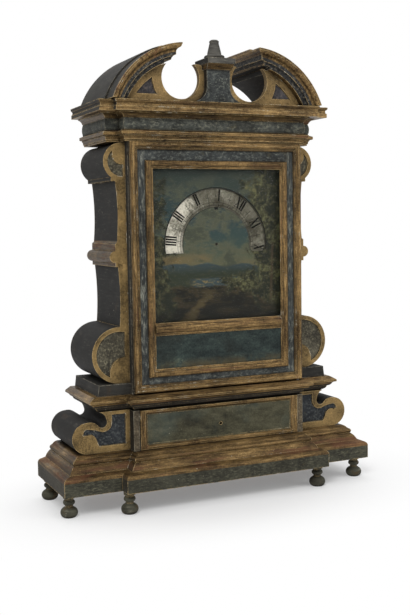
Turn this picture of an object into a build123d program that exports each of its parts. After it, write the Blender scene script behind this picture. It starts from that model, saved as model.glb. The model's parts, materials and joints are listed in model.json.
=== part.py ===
from build123d import *
import math
import os

# Altar-shaped clock case of gilded and painted wood, with a glazed front door, a painted plate
# with a semicircular opening, a revolving hour ring behind it, and a spring-driven verge movement.
# Millimetres. X runs to the viewer's right, +Z is up, and the front faces -Y.
# Distances in front of the flat back of the case are written d; y_at turns them into Y.

# Storey heights
FOOT_HEIGHT = 46.5
FASCIA_HEIGHT = 28.5
BASE_MOULDING_HEIGHT = 43.0
PODIUM_HEIGHT = 83.0
WAIST_HEIGHT = 32.0
SCROLL_PLINTH_HEIGHT = 22.5
CASE_HEIGHT = 509.0
ARCHITRAVE_HEIGHT = 22.5
FRIEZE_HEIGHT = 23.0
CORNICE_HEIGHT = 35.0
FINIAL_TOP = 127.5

# Outermost half widths and front distances of each moulded storey
BASE_HALF_WIDTH = 352.0
BASE_FRONT = 200.0
BASE_BREAK_HALF_WIDTH = 232.0
BASE_BREAK_PROJECTION = 29.0
BASE_SETBACK = 44.0
WAIST_HALF_WIDTH = 287.0
WAIST_FRONT = 174.0
WAIST_BREAK_HALF_WIDTH = 214.5
WAIST_BREAK_PROJECTION = 20.0
CORNICE_HALF_WIDTH = 257.5
CORNICE_FRONT = 188.5
CORNICE_BREAK_HALF_WIDTH = 229.0
CORNICE_BREAK_PROJECTION = 15.5
ARCHITRAVE_INSET = 17.5
FRIEZE_INSET = 23.5
ENTABLATURE_SETBACK = 15.0

# Carcase boards
CASE_HALF_WIDTH = 193.0
CASE_WALL = 13.0
CASE_FRONT = 163.4
BACK_BOARD = 12.0
PODIUM_HALF_WIDTH = 197.0
PODIUM_FRONT = 176.0
PLINTH_WALL = 62.0
RING_HOLLOW_MARGIN = 5.0
RING_HOLLOW_FRONT = 112.0
DECK_THICKNESS = 12.0
FLOOR_THICKNESS = 20.0
MITRE_GAP = 0.2
JOINT_GAP = 0.1

# Scrolls and brackets at the sides
SCROLL_FRONT = 149.5
SCROLL_STEM = 19.0
SCROLL_WAIST = 2.5
SCROLL_CHEEK = 22.0
LOW_VOLUTE_RADIUS = 57.5
HIGH_VOLUTE_RADIUS = 38.0
HIGH_VOLUTE_X = 8.0
SCROLL_TOP_GAP = 1.5
SCROLL_BAND_HEIGHT = 257.0
SCROLL_BAND_REACH = 25.0
SCROLL_BAND_RADIUS = 12.0
SCROLL_BAND_FOOT = 8.0
SCROLL_BAND_HEAD = 14.0
SCROLL_BORDER = 9.0
SCROLL_PLINTH_FRONT = 157.0
SCROLL_PLINTH_HALF_WIDTH = 265.0
BRACKET_FRONT = 154.0
BRACKET_REACH = 123.0
RECESS_DEPTH = 3.0

# Feet
FOOT_RADIUS = 17.5
FOOT_DOWEL_RADIUS = 6.0
FOOT_DOWEL_LENGTH = 15.0
OUTER_FOOT_X = 334.5
OUTER_FOOT_D = 168.0
MIDDLE_FOOT_X = 218.5
MIDDLE_FOOT_D = 201.0
REAR_FOOT_D = 26.5

# Front door
DOOR_REAR = 166.0
DOOR_BAND_FRONT = 175.5
DOOR_OUTER_FRONT = 184.4
DOOR_INNER_FRONT = 181.8
DOOR_BOTTOM_GAP = 3.4
DOOR_TOP_GAP = 0.8
OUTER_MOULDING_WIDTH = 15.5
INNER_MOULDING_HALF_WIDTH = 161.0
INNER_MOULDING_WIDTH = 16.0
INNER_MOULDING_BOTTOM = 30.0
INNER_MOULDING_TOP = 37.0
CROSS_RAIL_WIDTH = 26.0
PANEL_SIGHT_HEIGHT = 68.0
SIGHT_LIP = 5.0
GLASS_THICKNESS = 2.0
GLASS_SETBACK = 2.0
PANEL_THICKNESS = 5.0
PANE_GAP = 0.4
DOOR_PIVOT_INSET = 5.5
DOOR_PIVOT_D = 172.0
DOOR_PIVOT_RADIUS = 3.0
DOOR_PIVOT_REACH = 10.0
PIVOT_CLEARANCE = 0.05

# Back door
BACK_DOOR_HALF_WIDTH = 164.0
BACK_DOOR_BOTTOM = 30.0
BACK_DOOR_TOP = 30.0
BACK_DOOR_THICKNESS = 11.0
BACK_DOOR_GAP = 2.0
BACK_PIVOT_RADIUS = 2.5

# Drawer
DRAWER_GAP = 1.5
DRAWER_REST_GAP = 0.3
DRAWER_FRONT_FACE = 178.5
DRAWER_PANEL_FACE = 173.0
DRAWER_FRONT_REAR = 158.0
DRAWER_SIDE_BORDER = 16.5
DRAWER_TOP_BORDER = 10.0
DRAWER_WALL = 9.0
DRAWER_BOX_SIDE_GAP = 4.0
DRAWER_BOX_REAR = 22.0
DRAWER_BOX_HEIGHT = 66.0
DRAWER_KEYHOLE_RADIUS = 3.0
DRAWER_KEYHOLE_HEIGHT = 38.0

# Dial
DIAL_CENTRE_HEIGHT = 300.5
APERTURE_OUTER_RADIUS = 116.0
APERTURE_INNER_RADIUS = 77.0
APERTURE_DROP = 17.0
APERTURE_END_RADIUS = 12.0
PLATE_THICKNESS = 1.2
PLATE_LAP = 11.0
DIAL_FRAME_THICKNESS = 13.0
HOUR_RING_OUTER_RADIUS = 123.0
HOUR_RING_INNER_RADIUS = 69.0
HOUR_RING_THICKNESS = 1.2
HOUR_RING_GAP = 1.8
HOUR_RING_SPOKE = 10.0
HOUR_RING_HUB = 11.0

# Broken arched pediment
ARCH_CENTRE_X = 71.8
ARCH_CENTRE_DROP = 59.6
ARCH_RADIUS = 172.5
ARCH_FRONT = 204.0
ARCH_TIP_X = 86.0
ARCH_INNER_RADIUS = 139.7
TYMPANUM_FRONT = 172.0
TYMPANUM_THICKNESS = 12.0
TYMPANUM_HORN_HEIGHT = 76.0
ROOF_RADIUS = 176.0
ROOF_THICKNESS = 42.0
CUTOUT_X = 78.0
CUTOUT_HEIGHT = 47.0
CUTOUT_RADIUS = 41.5
CUTOUT_BAND = 20.0
PANEL_LIFT = 13.5
PANEL_FROM_X = 110.0
PEDESTAL_HALF_WIDTH = 26.0
PEDESTAL_HEIGHT = 65.0
PEDESTAL_FRONT = 186.0
PEDESTAL_REAR = 144.0
PEDESTAL_FLARE = 32.0
CAP_HALF_WIDTH = 30.5
CAP_FRONT = 203.0
CAP_REAR = 138.0
CAP_HEIGHT = 22.0
FINIAL_D = 167.0

# Movement
SEAT_HEIGHT = 197.0
SEAT_THICKNESS = 12.0
SEAT_REAR = 57.0
SEAT_FRONT = 150.0
SEAT_GROOVE = 5.0
PLATE_HALF_WIDTH = 75.0
PLATE_HEIGHT = 204.0
BACK_PLATE_D = 58.0
PLATE_GAUGE = 3.0
PLATE_SPACING = 59.0
PILLAR_RADIUS = 5.0
PILLAR_X = 65.0
PILLAR_MARGIN = 12.0
RUNNING_CLEARANCE = 0.05
FIXED_CLEARANCE = 0.02
HOUR_MODULE = 1.25
HOUR_WHEEL_TEETH = 42
REPORT_PINION_TEETH = 14
BARREL_OFFSET_X = 28.0
GREAT_MODULE = 1.3
GREAT_WHEEL_TEETH = 60
SECOND_MODULE = 1.1
SECOND_WHEEL_TEETH = 57
CONTRATE_MODULE = 0.9
CONTRATE_TEETH = 60
PINION_LEAVES = 6
SECOND_OFFSET_X = -8.0
BARREL_RADIUS = 28.0
BARREL_LENGTH = 32.0
BARREL_ARBOR_RADIUS = 3.0
BARREL_PIPE_RADIUS = 5.0
ARBOR_RADIUS = 2.0
PIVOT_RADIUS = 1.2
CROWN_RADIUS = 20.0
CROWN_TEETH = 15
CROWN_TOOTH = 8.0
CROWN_D = 88.0
VERGE_RADIUS = 2.5
PALLET_LENGTH = 9.8
PALLET_ANGLE = 50.0
PENDULUM_D = 50.0
PENDULUM_LENGTH = 254.0
BOB_RADIUS = 18.0
BOB_THICKNESS = 12.0

# Levels and distances worked out from the driving dimensions
DEPTH = BASE_FRONT + BASE_BREAK_PROJECTION
Z_BASE = FOOT_HEIGHT
Z_DECK = Z_BASE + FASCIA_HEIGHT + BASE_MOULDING_HEIGHT
Z_WAIST = Z_DECK + PODIUM_HEIGHT
Z_CASE = Z_WAIST + WAIST_HEIGHT
Z_SCROLL = Z_CASE + SCROLL_PLINTH_HEIGHT
Z_ARCHITRAVE = Z_CASE + CASE_HEIGHT
Z_FRIEZE = Z_ARCHITRAVE + ARCHITRAVE_HEIGHT
Z_CORNICE = Z_FRIEZE + FRIEZE_HEIGHT
Z_TOP = Z_CORNICE + CORNICE_HEIGHT
HOLLOW_HALF_WIDTH = CASE_HALF_WIDTH - CASE_WALL - RING_HOLLOW_MARGIN
FAR = 2000.0


def y_at(d):
    """Y of a point that lies d in front of the back of the case."""
    return DEPTH / 2 - d


def board(x0, x1, d0, d1, z0, z1):
    """Rectangular board between two x, two distances from the back and two heights."""
    return Pos((x0 + x1) / 2, y_at((d0 + d1) / 2), (z0 + z1) / 2) * Box(x1 - x0, d1 - d0, z1 - z0)


def outline(start, *steps):
    """Closed flat face. A step is a point, or a (through, end) pair of points for an arc."""
    edges, here = [], start
    for step in steps:
        if isinstance(step[0], tuple):
            edges.append(ThreePointArc(here, step[0], step[1]))
            here = step[1]
        else:
            edges.append(Line(here, step))
            here = step
    if here != start:
        edges.append(Line(here, start))
    return make_face(edges)


def front_view(d=0.0):
    """Plane whose axes are X and Z, with its normal towards the front."""
    return Plane(origin=(0, y_at(d), 0), x_dir=(1, 0, 0), z_dir=(0, -1, 0))


def prism(face, d0, d1):
    """Front-view face made solid from d0 to d1."""
    return extrude(front_view(d0) * face, amount=d1 - d0, dir=(0, -1, 0))


def disc(x, z, radius):
    """Round face in the front view."""
    return Pos(x, z) * Circle(radius)


def rod(x, z, radius, d0, d1):
    """Round bar that runs from d0 to d1."""
    return prism(disc(x, z, radius), d0, d1)


def post(x, d, radius, z0, z1):
    """Round upright bar."""
    return Pos(x, y_at(d), (z0 + z1) / 2) * Cylinder(radius, z1 - z0)


def turned(x, d, z0, face):
    """Turning about an upright axis. The face has radius across and height up."""
    plane = Plane(origin=(x, y_at(d), z0), x_dir=(1, 0, 0), z_dir=(0, -1, 0))
    return revolve(plane * face, Axis((x, y_at(d), z0), (0, 0, 1)))


def mirrored(shape):
    """The same piece on the other side of the clock."""
    return mirror(shape, about=Plane.YZ)


def moulded_block(profile, half_width, front, z0):
    """Block with one moulding on both sides and the front, mitred at the front corners."""
    def run(reach):
        return outline((reach, 0), *profile, (reach, top_of(profile)))
    side_plane = Plane(origin=(-half_width, y_at(0), z0), x_dir=(1, 0, 0), z_dir=(0, -1, 0))
    side = extrude(side_plane * run(half_width), amount=front, dir=(0, -1, 0))
    front_plane = Plane(origin=(-half_width, y_at(front), z0), x_dir=(0, 1, 0), z_dir=(1, 0, 0))
    across = extrude(front_plane * run(front), amount=2 * half_width, dir=(1, 0, 0))
    return (side + mirrored(side)) & across


def top_of(profile):
    """Height of the last point of a moulding profile."""
    last = profile[-1]
    return last[1][1] if isinstance(last[0], tuple) else last[1]


def mitred_lengths(profile, outer, broken, z0, hollow):
    """Front and side lengths of a moulding with a break-front, round a hollow, as three solids."""
    half_width, front = outer
    solid = moulded_block(profile, half_width, front, z0)
    solid += moulded_block(profile, *broken, z0)
    hollow_half_width, hollow_front = hollow
    solid -= board(-hollow_half_width, hollow_half_width, -1, hollow_front, z0 - 1, z0 + FAR)
    reach = half_width - hollow_half_width

    def wedge(gap):
        corner_x, corner_d = half_width + 1 + gap, front + 1
        inner_x, inner_d = half_width - reach + gap, front - reach
        face = Polygon(
            (-inner_x, -inner_d), (-corner_x, -corner_d), (-corner_x, -corner_d - FAR),
            (corner_x, -corner_d - FAR), (corner_x, -corner_d), (inner_x, -inner_d), align=None,
        )
        return extrude(Plane(origin=(0, y_at(0), z0 - 1)) * face, amount=FAR, dir=(0, 0, 1))
    return Compound(children=[*(solid & wedge(0)).solids(), *(solid - wedge(MITRE_GAP)).solids()])


# Moulding profiles: inset from the outermost edge, then height above the storey's underside

def base_profile():
    f, s, h = FASCIA_HEIGHT, BASE_SETBACK, FASCIA_HEIGHT + BASE_MOULDING_HEIGHT
    return [
        (0, 0), (0, f), ((2.5, f + 5.5), (8, f + 8)), (s - 27, f + 10.5),
        ((s - 22.5, h - 24), (s - 15, h - 17)), ((s - 17, h - 12), (s - 13, h - 7.5)), (s - 10, h - 5.5),
        ((s - 6, h - 1.8), (s, h)),
    ]


def waist_profile():
    h = WAIST_HEIGHT
    return [
        (28.2, 0), ((22.5, 1.7), (17.5, 5.5)), (15.5, 10), ((11.5, 11.5), (8.5, 14.5)),
        ((6, 18), (2, 19.5)), (0, 20.5), (0, h - 7.5), (11.6, h),
    ]


def architrave_profile():
    h = ARCHITRAVE_HEIGHT
    return [
        (9.6, 0), (9.6, 3.5), (7.6, 3.5), ((7.2, 8), (5.2, 10.5)), (5.2, 12.5), (1.2, 12.5),
        ((0, 14), (0, 15.5)), (0, h - 3.5), (8, h),
    ]


def frieze_profile():
    return [(2.2, 0), ((0, FRIEZE_HEIGHT / 2), (2.2, FRIEZE_HEIGHT))]


def cornice_profile():
    h = CORNICE_HEIGHT
    return [
        (26, 0), (24.5, 1.5), ((21, 7), (15.5, 10)), (15.5, 11.5), (1.2, 11.5), (1.2, 20),
        (3.2, 20), (3.2, 22), ((3.6, 25.5), (1.8, 27.5)), ((0.2, 29.5), (0, h - 4)), (0, h - 2), (16, h),
    ]


def arch_profile():
    """Radius, then distance from the back: soffit, dark ovolo, fascia, gilt cyma and fillet."""
    r, f = ARCH_RADIUS, ARCH_FRONT
    inner, back = ARCH_INNER_RADIUS, TYMPANUM_FRONT - TYMPANUM_THICKNESS
    return [
        (inner, back), (inner, f - 18), ((r - 26, f - 15.5), (r - 23.5, f - 10)), (r - 16.5, f - 10),
        ((r - 13, f - 8.5), (r - 10.5, f - 5.5)), ((r - 8, f - 2.2), (r - 4, f - 1)), (r - 4, f), (r, f),
        (r, back),
    ]


# Plinth, feet and drawer storey

def base_moulding():
    profile = base_profile()
    broken = (BASE_BREAK_HALF_WIDTH, BASE_FRONT + BASE_BREAK_PROJECTION)
    hollow = (BASE_HALF_WIDTH - PLINTH_WALL, BASE_FRONT - PLINTH_WALL)
    shape = mitred_lengths(profile, (BASE_HALF_WIDTH, BASE_FRONT), broken, Z_BASE, hollow)
    for x, d in FOOT_PLACES.values():
        shape -= post(x, d, FOOT_DOWEL_RADIUS + JOINT_GAP, Z_BASE - 1, Z_BASE + FOOT_DOWEL_LENGTH + 1)
    return shape


def base_board():
    half_width = BASE_HALF_WIDTH - PLINTH_WALL - JOINT_GAP
    front = BASE_FRONT - PLINTH_WALL - JOINT_GAP
    bottom = board(-half_width, half_width, 0, front, Z_BASE, Z_BASE + DECK_THICKNESS)
    rail = board(-half_width, half_width, 0, BACK_BOARD, Z_BASE, Z_DECK - DECK_THICKNESS)
    return bottom + rail


def base_deck():
    half_width = BASE_HALF_WIDTH - PLINTH_WALL - JOINT_GAP
    front = BASE_FRONT - PLINTH_WALL - JOINT_GAP
    return board(-half_width, half_width, 0, front, Z_DECK - DECK_THICKNESS, Z_DECK)


def foot_places():
    places = {}
    for side, name in ((-1, "left"), (1, "right")):
        places["foot_front_" + name] = (side * OUTER_FOOT_X, OUTER_FOOT_D)
        places["foot_middle_" + name] = (side * MIDDLE_FOOT_X, MIDDLE_FOOT_D)
        places["foot_rear_" + name] = (side * OUTER_FOOT_X, REAR_FOOT_D)
    return places


FOOT_PLACES = foot_places()


def foot(x, d):
    """Turned foot: bun, waist, ring and collar, with a dowel that goes up into the plinth."""
    r, h = FOOT_RADIUS, FOOT_HEIGHT
    face = outline(
        (0, 0), (r - 6.5, 0), ((r, 9.5), (r - 5.5, 19)), (r - 9.5, 22), (r - 9.5, 25),
        ((r - 5.5, 30), (r - 8.5, 35)), (r - 8.5, 37.5), (r - 5.5, 39), (r - 5.5, h),
        (FOOT_DOWEL_RADIUS, h), (FOOT_DOWEL_RADIUS, h + FOOT_DOWEL_LENGTH), (0, h + FOOT_DOWEL_LENGTH),
    )
    return turned(x, d, 0, face)


def podium_side():
    inner = PODIUM_HALF_WIDTH - CASE_WALL
    return board(inner, PODIUM_HALF_WIDTH, BACK_BOARD + JOINT_GAP, PODIUM_FRONT, Z_DECK, Z_WAIST)


def bracket():
    """Scroll bracket beside the drawer: a volute that rolls out from an upright neck."""
    def at(across, up):
        """Point at these shares of the bracket's reach and height."""
        return PODIUM_HALF_WIDTH + across * BRACKET_REACH, Z_DECK + up * PODIUM_HEIGHT
    body = outline(
        at(0, 0), at(0.74, 0), (at(1, 0.385), at(0.74, 0.77)), (at(0.614, 0.74), at(0.545, 0.65)),
        (at(0.423, 0.65), at(0.407, 0.795)), (at(0.439, 0.91), at(0.528, 1)), at(0, 1),
    )
    recess = outline(
        at(0.073, 0.157), at(0.537, 0.157), (at(0.577, 0.277), at(0.602, 0.373)),
        (at(0.675, 0.458), at(0.756, 0.446)), at(0.813, 0.464), (at(0.793, 0.566), at(0.715, 0.602)),
        (at(0.61, 0.572), at(0.512, 0.524)), (at(0.374, 0.554), at(0.317, 0.687)),
        (at(0.313, 0.807), at(0.321, 0.916)), at(0.073, 0.916),
    )
    return prism(body, 0, BRACKET_FRONT) - prism(recess, BRACKET_FRONT - RECESS_DEPTH, BRACKET_FRONT + 1)


def drawer_opening():
    """Half width, underside and top of the drawer front."""
    half_width = PODIUM_HALF_WIDTH - CASE_WALL - DRAWER_GAP
    return half_width, Z_DECK + DRAWER_GAP, Z_WAIST - DRAWER_GAP / 2


def drawer_front():
    half_width, z0, z1 = drawer_opening()
    slab = board(-half_width, half_width, DRAWER_FRONT_REAR, DRAWER_FRONT_FACE, z0, z1)
    inner_x = half_width - DRAWER_SIDE_BORDER
    inner_z0, inner_z1 = z0 + DRAWER_TOP_BORDER, z1 - DRAWER_TOP_BORDER
    middle, height = (inner_z0 + inner_z1) / 2, inner_z1 - inner_z0
    splay = DRAWER_FRONT_FACE - DRAWER_PANEL_FACE
    sunk = loft([
        front_view(DRAWER_PANEL_FACE) * Pos(0, middle) * Rectangle(2 * inner_x, height),
        front_view(DRAWER_FRONT_FACE) * Pos(0, middle) * Rectangle(2 * (inner_x + splay), height + 2 * splay),
    ])
    keyhole_z = Z_DECK + DRAWER_KEYHOLE_HEIGHT
    keyhole = rod(0, keyhole_z, DRAWER_KEYHOLE_RADIUS, DRAWER_FRONT_REAR - 1, DRAWER_FRONT_FACE)
    return slab - sunk - keyhole


def drawer_box():
    half_width = PODIUM_HALF_WIDTH - CASE_WALL - DRAWER_BOX_SIDE_GAP
    z0 = Z_DECK + DRAWER_REST_GAP
    z1 = z0 + DRAWER_BOX_HEIGHT
    outer = board(-half_width, half_width, DRAWER_BOX_REAR, DRAWER_FRONT_REAR, z0, z1)
    inner_x, wall = half_width - DRAWER_WALL, DRAWER_WALL
    return outer - board(-inner_x, inner_x, DRAWER_BOX_REAR + wall, DRAWER_FRONT_REAR + 1, z0 + wall, z1 + 1)


# Waist cornice, carcase and side scrolls

def waist_cornice():
    broken = (WAIST_BREAK_HALF_WIDTH, WAIST_FRONT + WAIST_BREAK_PROJECTION)
    hollow = (HOLLOW_HALF_WIDTH, RING_HOLLOW_FRONT)
    shape = mitred_lengths(waist_profile(), (WAIST_HALF_WIDTH, WAIST_FRONT), broken, Z_WAIST, hollow)
    shape -= board(-CASE_HALF_WIDTH - JOINT_GAP, CASE_HALF_WIDTH + JOINT_GAP, -1, BACK_BOARD + JOINT_GAP,
                   Z_WAIST - 1, Z_CASE + 1)
    return shape - door_pin_hole(Z_CASE - DOOR_PIVOT_REACH, Z_CASE + 1)


def case_floor():
    half_width = HOLLOW_HALF_WIDTH - JOINT_GAP
    return board(-half_width, half_width, BACK_BOARD + JOINT_GAP, RING_HOLLOW_FRONT - JOINT_GAP,
                 Z_CASE - FLOOR_THICKNESS, Z_CASE)


def case_side():
    inner = CASE_HALF_WIDTH - CASE_WALL
    side = board(inner, CASE_HALF_WIDTH, BACK_BOARD + JOINT_GAP, CASE_FRONT, Z_CASE, Z_ARCHITRAVE)
    seat = Z_CASE + SEAT_HEIGHT
    groove = board(inner - 1, inner + SEAT_GROOVE + JOINT_GAP, SEAT_REAR - JOINT_GAP, SEAT_FRONT + JOINT_GAP,
                   seat - JOINT_GAP, seat + SEAT_THICKNESS + JOINT_GAP)
    return side - groove


def back_door_span():
    """Underside and top of the back door."""
    return Z_CASE + BACK_DOOR_BOTTOM, Z_ARCHITRAVE - BACK_DOOR_TOP


def back_pivot_x():
    return -(BACK_DOOR_HALF_WIDTH - BACK_DOOR_THICKNESS / 2)


def case_back():
    shape = board(-CASE_HALF_WIDTH, CASE_HALF_WIDTH, 0, BACK_BOARD, Z_DECK, Z_ARCHITRAVE)
    top_half_width = HOLLOW_HALF_WIDTH - JOINT_GAP
    shape += board(-top_half_width, top_half_width, 0, BACK_BOARD, Z_ARCHITRAVE, Z_TOP - DECK_THICKNESS)
    z0, z1 = back_door_span()
    half_width = BACK_DOOR_HALF_WIDTH + BACK_DOOR_GAP
    shape -= board(-half_width, half_width, -1, BACK_BOARD + 1, z0 - BACK_DOOR_GAP, z1 + BACK_DOOR_GAP)
    hole, reach = BACK_PIVOT_RADIUS + PIVOT_CLEARANCE, DOOR_PIVOT_REACH + 1
    return shape - post(back_pivot_x(), BACK_BOARD / 2, hole, z0 - reach, z1 + reach)


def back_door():
    """Plain board with a rounded hinge edge and a pin at each end of it."""
    z0, z1 = back_door_span()
    d0 = (BACK_BOARD - BACK_DOOR_THICKNESS) / 2
    pivot, reach = back_pivot_x(), DOOR_PIVOT_REACH
    shape = board(pivot, BACK_DOOR_HALF_WIDTH, d0, d0 + BACK_DOOR_THICKNESS, z0, z1)
    shape += post(pivot, BACK_BOARD / 2, BACK_DOOR_THICKNESS / 2, z0, z1)
    return shape + post(pivot, BACK_BOARD / 2, BACK_PIVOT_RADIUS, z0 - reach, z1 + reach)


def scroll_plinth():
    inner, outer = CASE_HALF_WIDTH, SCROLL_PLINTH_HALF_WIDTH
    face = outline((inner, Z_CASE), (outer, Z_CASE), (outer - 3, Z_SCROLL), (inner, Z_SCROLL))
    return prism(face, 0, SCROLL_PLINTH_FRONT)


def side_scroll():
    """Tall scroll beside the door: large volute, waisted stem with a banded moulding, small volute."""
    x, z, top = CASE_HALF_WIDTH, Z_SCROLL, Z_ARCHITRAVE - SCROLL_TOP_GAP
    r, q, stem, cheek = LOW_VOLUTE_RADIUS, HIGH_VOLUTE_RADIUS, x + SCROLL_STEM, x + SCROLL_CHEEK
    low, high, curl = z + r, top - q, x + HIGH_VOLUTE_X
    band, b, c = z + SCROLL_BAND_HEIGHT, x + SCROLL_BAND_REACH, SCROLL_BAND_RADIUS
    foot_z, head_z = band - c - SCROLL_BAND_FOOT, band + c + SCROLL_BAND_HEAD
    body = outline(
        (x, z), (cheek, z), ((cheek + r, low), (cheek, low + r)), (stem, low + r + 0.5),
        ((stem - SCROLL_WAIST, (low + r + foot_z) / 2), (stem + 1, foot_z)), (b, foot_z), (b, band - c),
        ((b + c, band), (b, band + c)), (b, head_z), (stem + 2, head_z + 3),
        ((stem - 1, (head_z + high - q) / 2), (stem + 3, high - q)), (curl + 0.6 * q, high - q),
        (curl + 0.6 * q, high - 0.8 * q), ((curl + q, high), (curl, top)), (x, top),
    )
    border = SCROLL_BORDER
    lower_field = disc(cheek, low, r - border) & Pos(x + border + FAR / 2, low) * Rectangle(FAR, FAR)
    lower_field -= disc(x + border, low - 0.65 * r, 0.58 * r)
    upper_field = disc(curl, high, q - border) & Pos(x + border / 2 + FAR / 2, high) * Rectangle(FAR, FAR)
    upper_field -= disc(curl - 1, high + 0.4 * q, 0.53 * q)
    shape = prism(body, 0, SCROLL_FRONT)
    for field in (lower_field, upper_field):
        shape -= prism(field, SCROLL_FRONT - RECESS_DEPTH, SCROLL_FRONT + 1)
    return shape


# Entablature

def entablature_length(profile, inset, setback, z0):
    outer = (CORNICE_HALF_WIDTH - inset, CORNICE_FRONT - inset - setback)
    broken = (CORNICE_BREAK_HALF_WIDTH - inset, CORNICE_FRONT + CORNICE_BREAK_PROJECTION - inset)
    return mitred_lengths(profile, outer, broken, z0, (HOLLOW_HALF_WIDTH, RING_HOLLOW_FRONT))


def architrave():
    shape = entablature_length(architrave_profile(), ARCHITRAVE_INSET, ENTABLATURE_SETBACK, Z_ARCHITRAVE)
    return shape - door_pin_hole(Z_ARCHITRAVE - 1, Z_ARCHITRAVE + DOOR_PIVOT_REACH)


def frieze():
    return entablature_length(frieze_profile(), FRIEZE_INSET, ENTABLATURE_SETBACK, Z_FRIEZE)


def cornice():
    """Corona that runs on over the set-back bed moulding of the outer lengths."""
    shape = entablature_length(cornice_profile(), 0, 0, Z_CORNICE)
    bed = cornice_profile()[:4]
    kept = moulded_block(bed, CORNICE_HALF_WIDTH, CORNICE_FRONT - ENTABLATURE_SETBACK, Z_CORNICE)
    kept += moulded_block(bed, CORNICE_BREAK_HALF_WIDTH, CORNICE_FRONT + CORNICE_BREAK_PROJECTION, Z_CORNICE)
    under = board(-CORNICE_HALF_WIDTH, CORNICE_HALF_WIDTH, RING_HOLLOW_FRONT, DEPTH, Z_CORNICE,
                  Z_CORNICE + top_of(bed))
    return shape - (under - kept)


def pediment_deck():
    half_width = HOLLOW_HALF_WIDTH - JOINT_GAP
    return board(-half_width, half_width, 0, RING_HOLLOW_FRONT - JOINT_GAP, Z_TOP - DECK_THICKNESS, Z_TOP)


# Pediment

def arch_disc(radius, side=1):
    return disc(side * ARCH_CENTRE_X, Z_TOP - ARCH_CENTRE_DROP, radius)


def above_cornice():
    return Pos(0, Z_TOP + FAR / 2) * Rectangle(FAR, FAR)


def return_reach():
    """How far the moulding returned along the broken end stands in from its tip."""
    return ARCH_RADIUS - ARCH_INNER_RADIUS


def arch_moulding():
    """Arched moulding on the front, mitred to the same moulding returned along the broken end."""
    plane = Plane(origin=(ARCH_CENTRE_X, y_at(0), Z_TOP - ARCH_CENTRE_DROP), x_dir=(0, 0, 1), z_dir=(1, 0, 0))
    profile = arch_profile()
    ring = revolve(plane * outline(profile[0], *profile[1:]),
                   Axis((ARCH_CENTRE_X, 0, Z_TOP - ARCH_CENTRE_DROP), (0, 1, 0)))
    crown = Z_TOP - ARCH_CENTRE_DROP + ARCH_RADIUS
    tip, r = ARCH_TIP_X, return_reach()
    # The same steps as the front profile, as inset from the tip and drop from the crown
    end = outline(
        (FAR, crown + 100), (tip, crown + 100), (tip, crown - 4), (tip + 1, crown - 4),
        ((tip + 2.2, crown - 8), (tip + 5.5, crown - 10.5)),
        ((tip + 8.5, crown - 13), (tip + 10, crown - 16.5)), (tip + 10, crown - 23.5),
        ((tip + 15.5, crown - 26), (tip + 18, crown - r)),
        (tip + r, crown - r - 3), (tip + r, Z_TOP), (FAR, Z_TOP),
    )
    front = ring & prism(end, 0, ARCH_FRONT + 1)
    beam = arch_disc(ROOF_RADIUS) & end & Pos(tip + r / 2, Z_TOP + FAR / 2) * Rectangle(r, FAR)
    beam -= Pos(tip, Z_TOP) * Rectangle(2 * r + 2, 2 * (crown - r - 4 - Z_TOP))
    return front + prism(beam, 0, TYMPANUM_FRONT - TYMPANUM_THICKNESS)


def roof():
    """Curved boards that close the back half of the arch, open behind."""
    inner_x = ARCH_TIP_X + return_reach() + JOINT_GAP
    shell = (arch_disc(ROOF_RADIUS) - arch_disc(ROOF_RADIUS - ROOF_THICKNESS)) & above_cornice()
    shell &= Pos(inner_x + FAR / 2, Z_TOP + FAR / 2) * Rectangle(FAR, FAR)
    return prism(shell, 0, TYMPANUM_FRONT - TYMPANUM_THICKNESS - JOINT_GAP)


def tympanum():
    """Front board of the pediment with its two round cut-outs and sunk corner panels."""
    radius = ARCH_INNER_RADIUS - JOINT_GAP
    face = (arch_disc(radius, 1) + arch_disc(radius, -1)) & above_cornice()
    cut_z = Z_TOP + CUTOUT_HEIGHT
    panels = []
    for side in (-1, 1):
        face -= disc(side * CUTOUT_X, cut_z, CUTOUT_RADIUS)
        panel = arch_disc(ARCH_INNER_RADIUS - PANEL_LIFT, side)
        panel -= disc(side * CUTOUT_X, cut_z, CUTOUT_RADIUS + CUTOUT_BAND)
        corner = (side * (PANEL_FROM_X + FAR / 2), Z_TOP + PANEL_LIFT + FAR / 2)
        panels.append(panel & Pos(*corner) * Rectangle(FAR, FAR))
    crown = Z_TOP - ARCH_CENTRE_DROP + ARCH_RADIUS
    face &= Pos(0, Z_TOP) * Rectangle(FAR, 2 * (crown - return_reach() - 4 - Z_TOP))
    face -= Pos(0, Z_TOP + PEDESTAL_HEIGHT + FAR / 2) * Rectangle(2 * CAP_HALF_WIDTH + 1, FAR)
    face -= Pos(0, Z_TOP + TYMPANUM_HORN_HEIGHT + FAR / 2) * Rectangle(2 * CUTOUT_X, FAR)
    shape = prism(face, TYMPANUM_FRONT - TYMPANUM_THICKNESS, TYMPANUM_FRONT)
    for panel in panels:
        shape -= prism(panel, TYMPANUM_FRONT - RECESS_DEPTH, TYMPANUM_FRONT + 1)
    return shape


def pedestal():
    """Flared front block on the tympanum and the block behind it that carries the cap."""
    half, top, flare = PEDESTAL_HALF_WIDTH, Z_TOP + PEDESTAL_HEIGHT, PEDESTAL_FLARE
    bend = flare * (1 - math.sqrt(0.5))
    face = outline(
        (-half, top), (-half, Z_TOP + flare), ((-half - bend, Z_TOP + bend), (-half - flare, Z_TOP)),
        (half + flare, Z_TOP), ((half + bend, Z_TOP + bend), (half, Z_TOP + flare)), (half, top),
    )
    front = prism(face, TYMPANUM_FRONT, PEDESTAL_FRONT)
    rear = board(-half, half, PEDESTAL_REAR, TYMPANUM_FRONT - TYMPANUM_THICKNESS, Z_TOP, top)
    return Compound(children=[front, rear])


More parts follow.
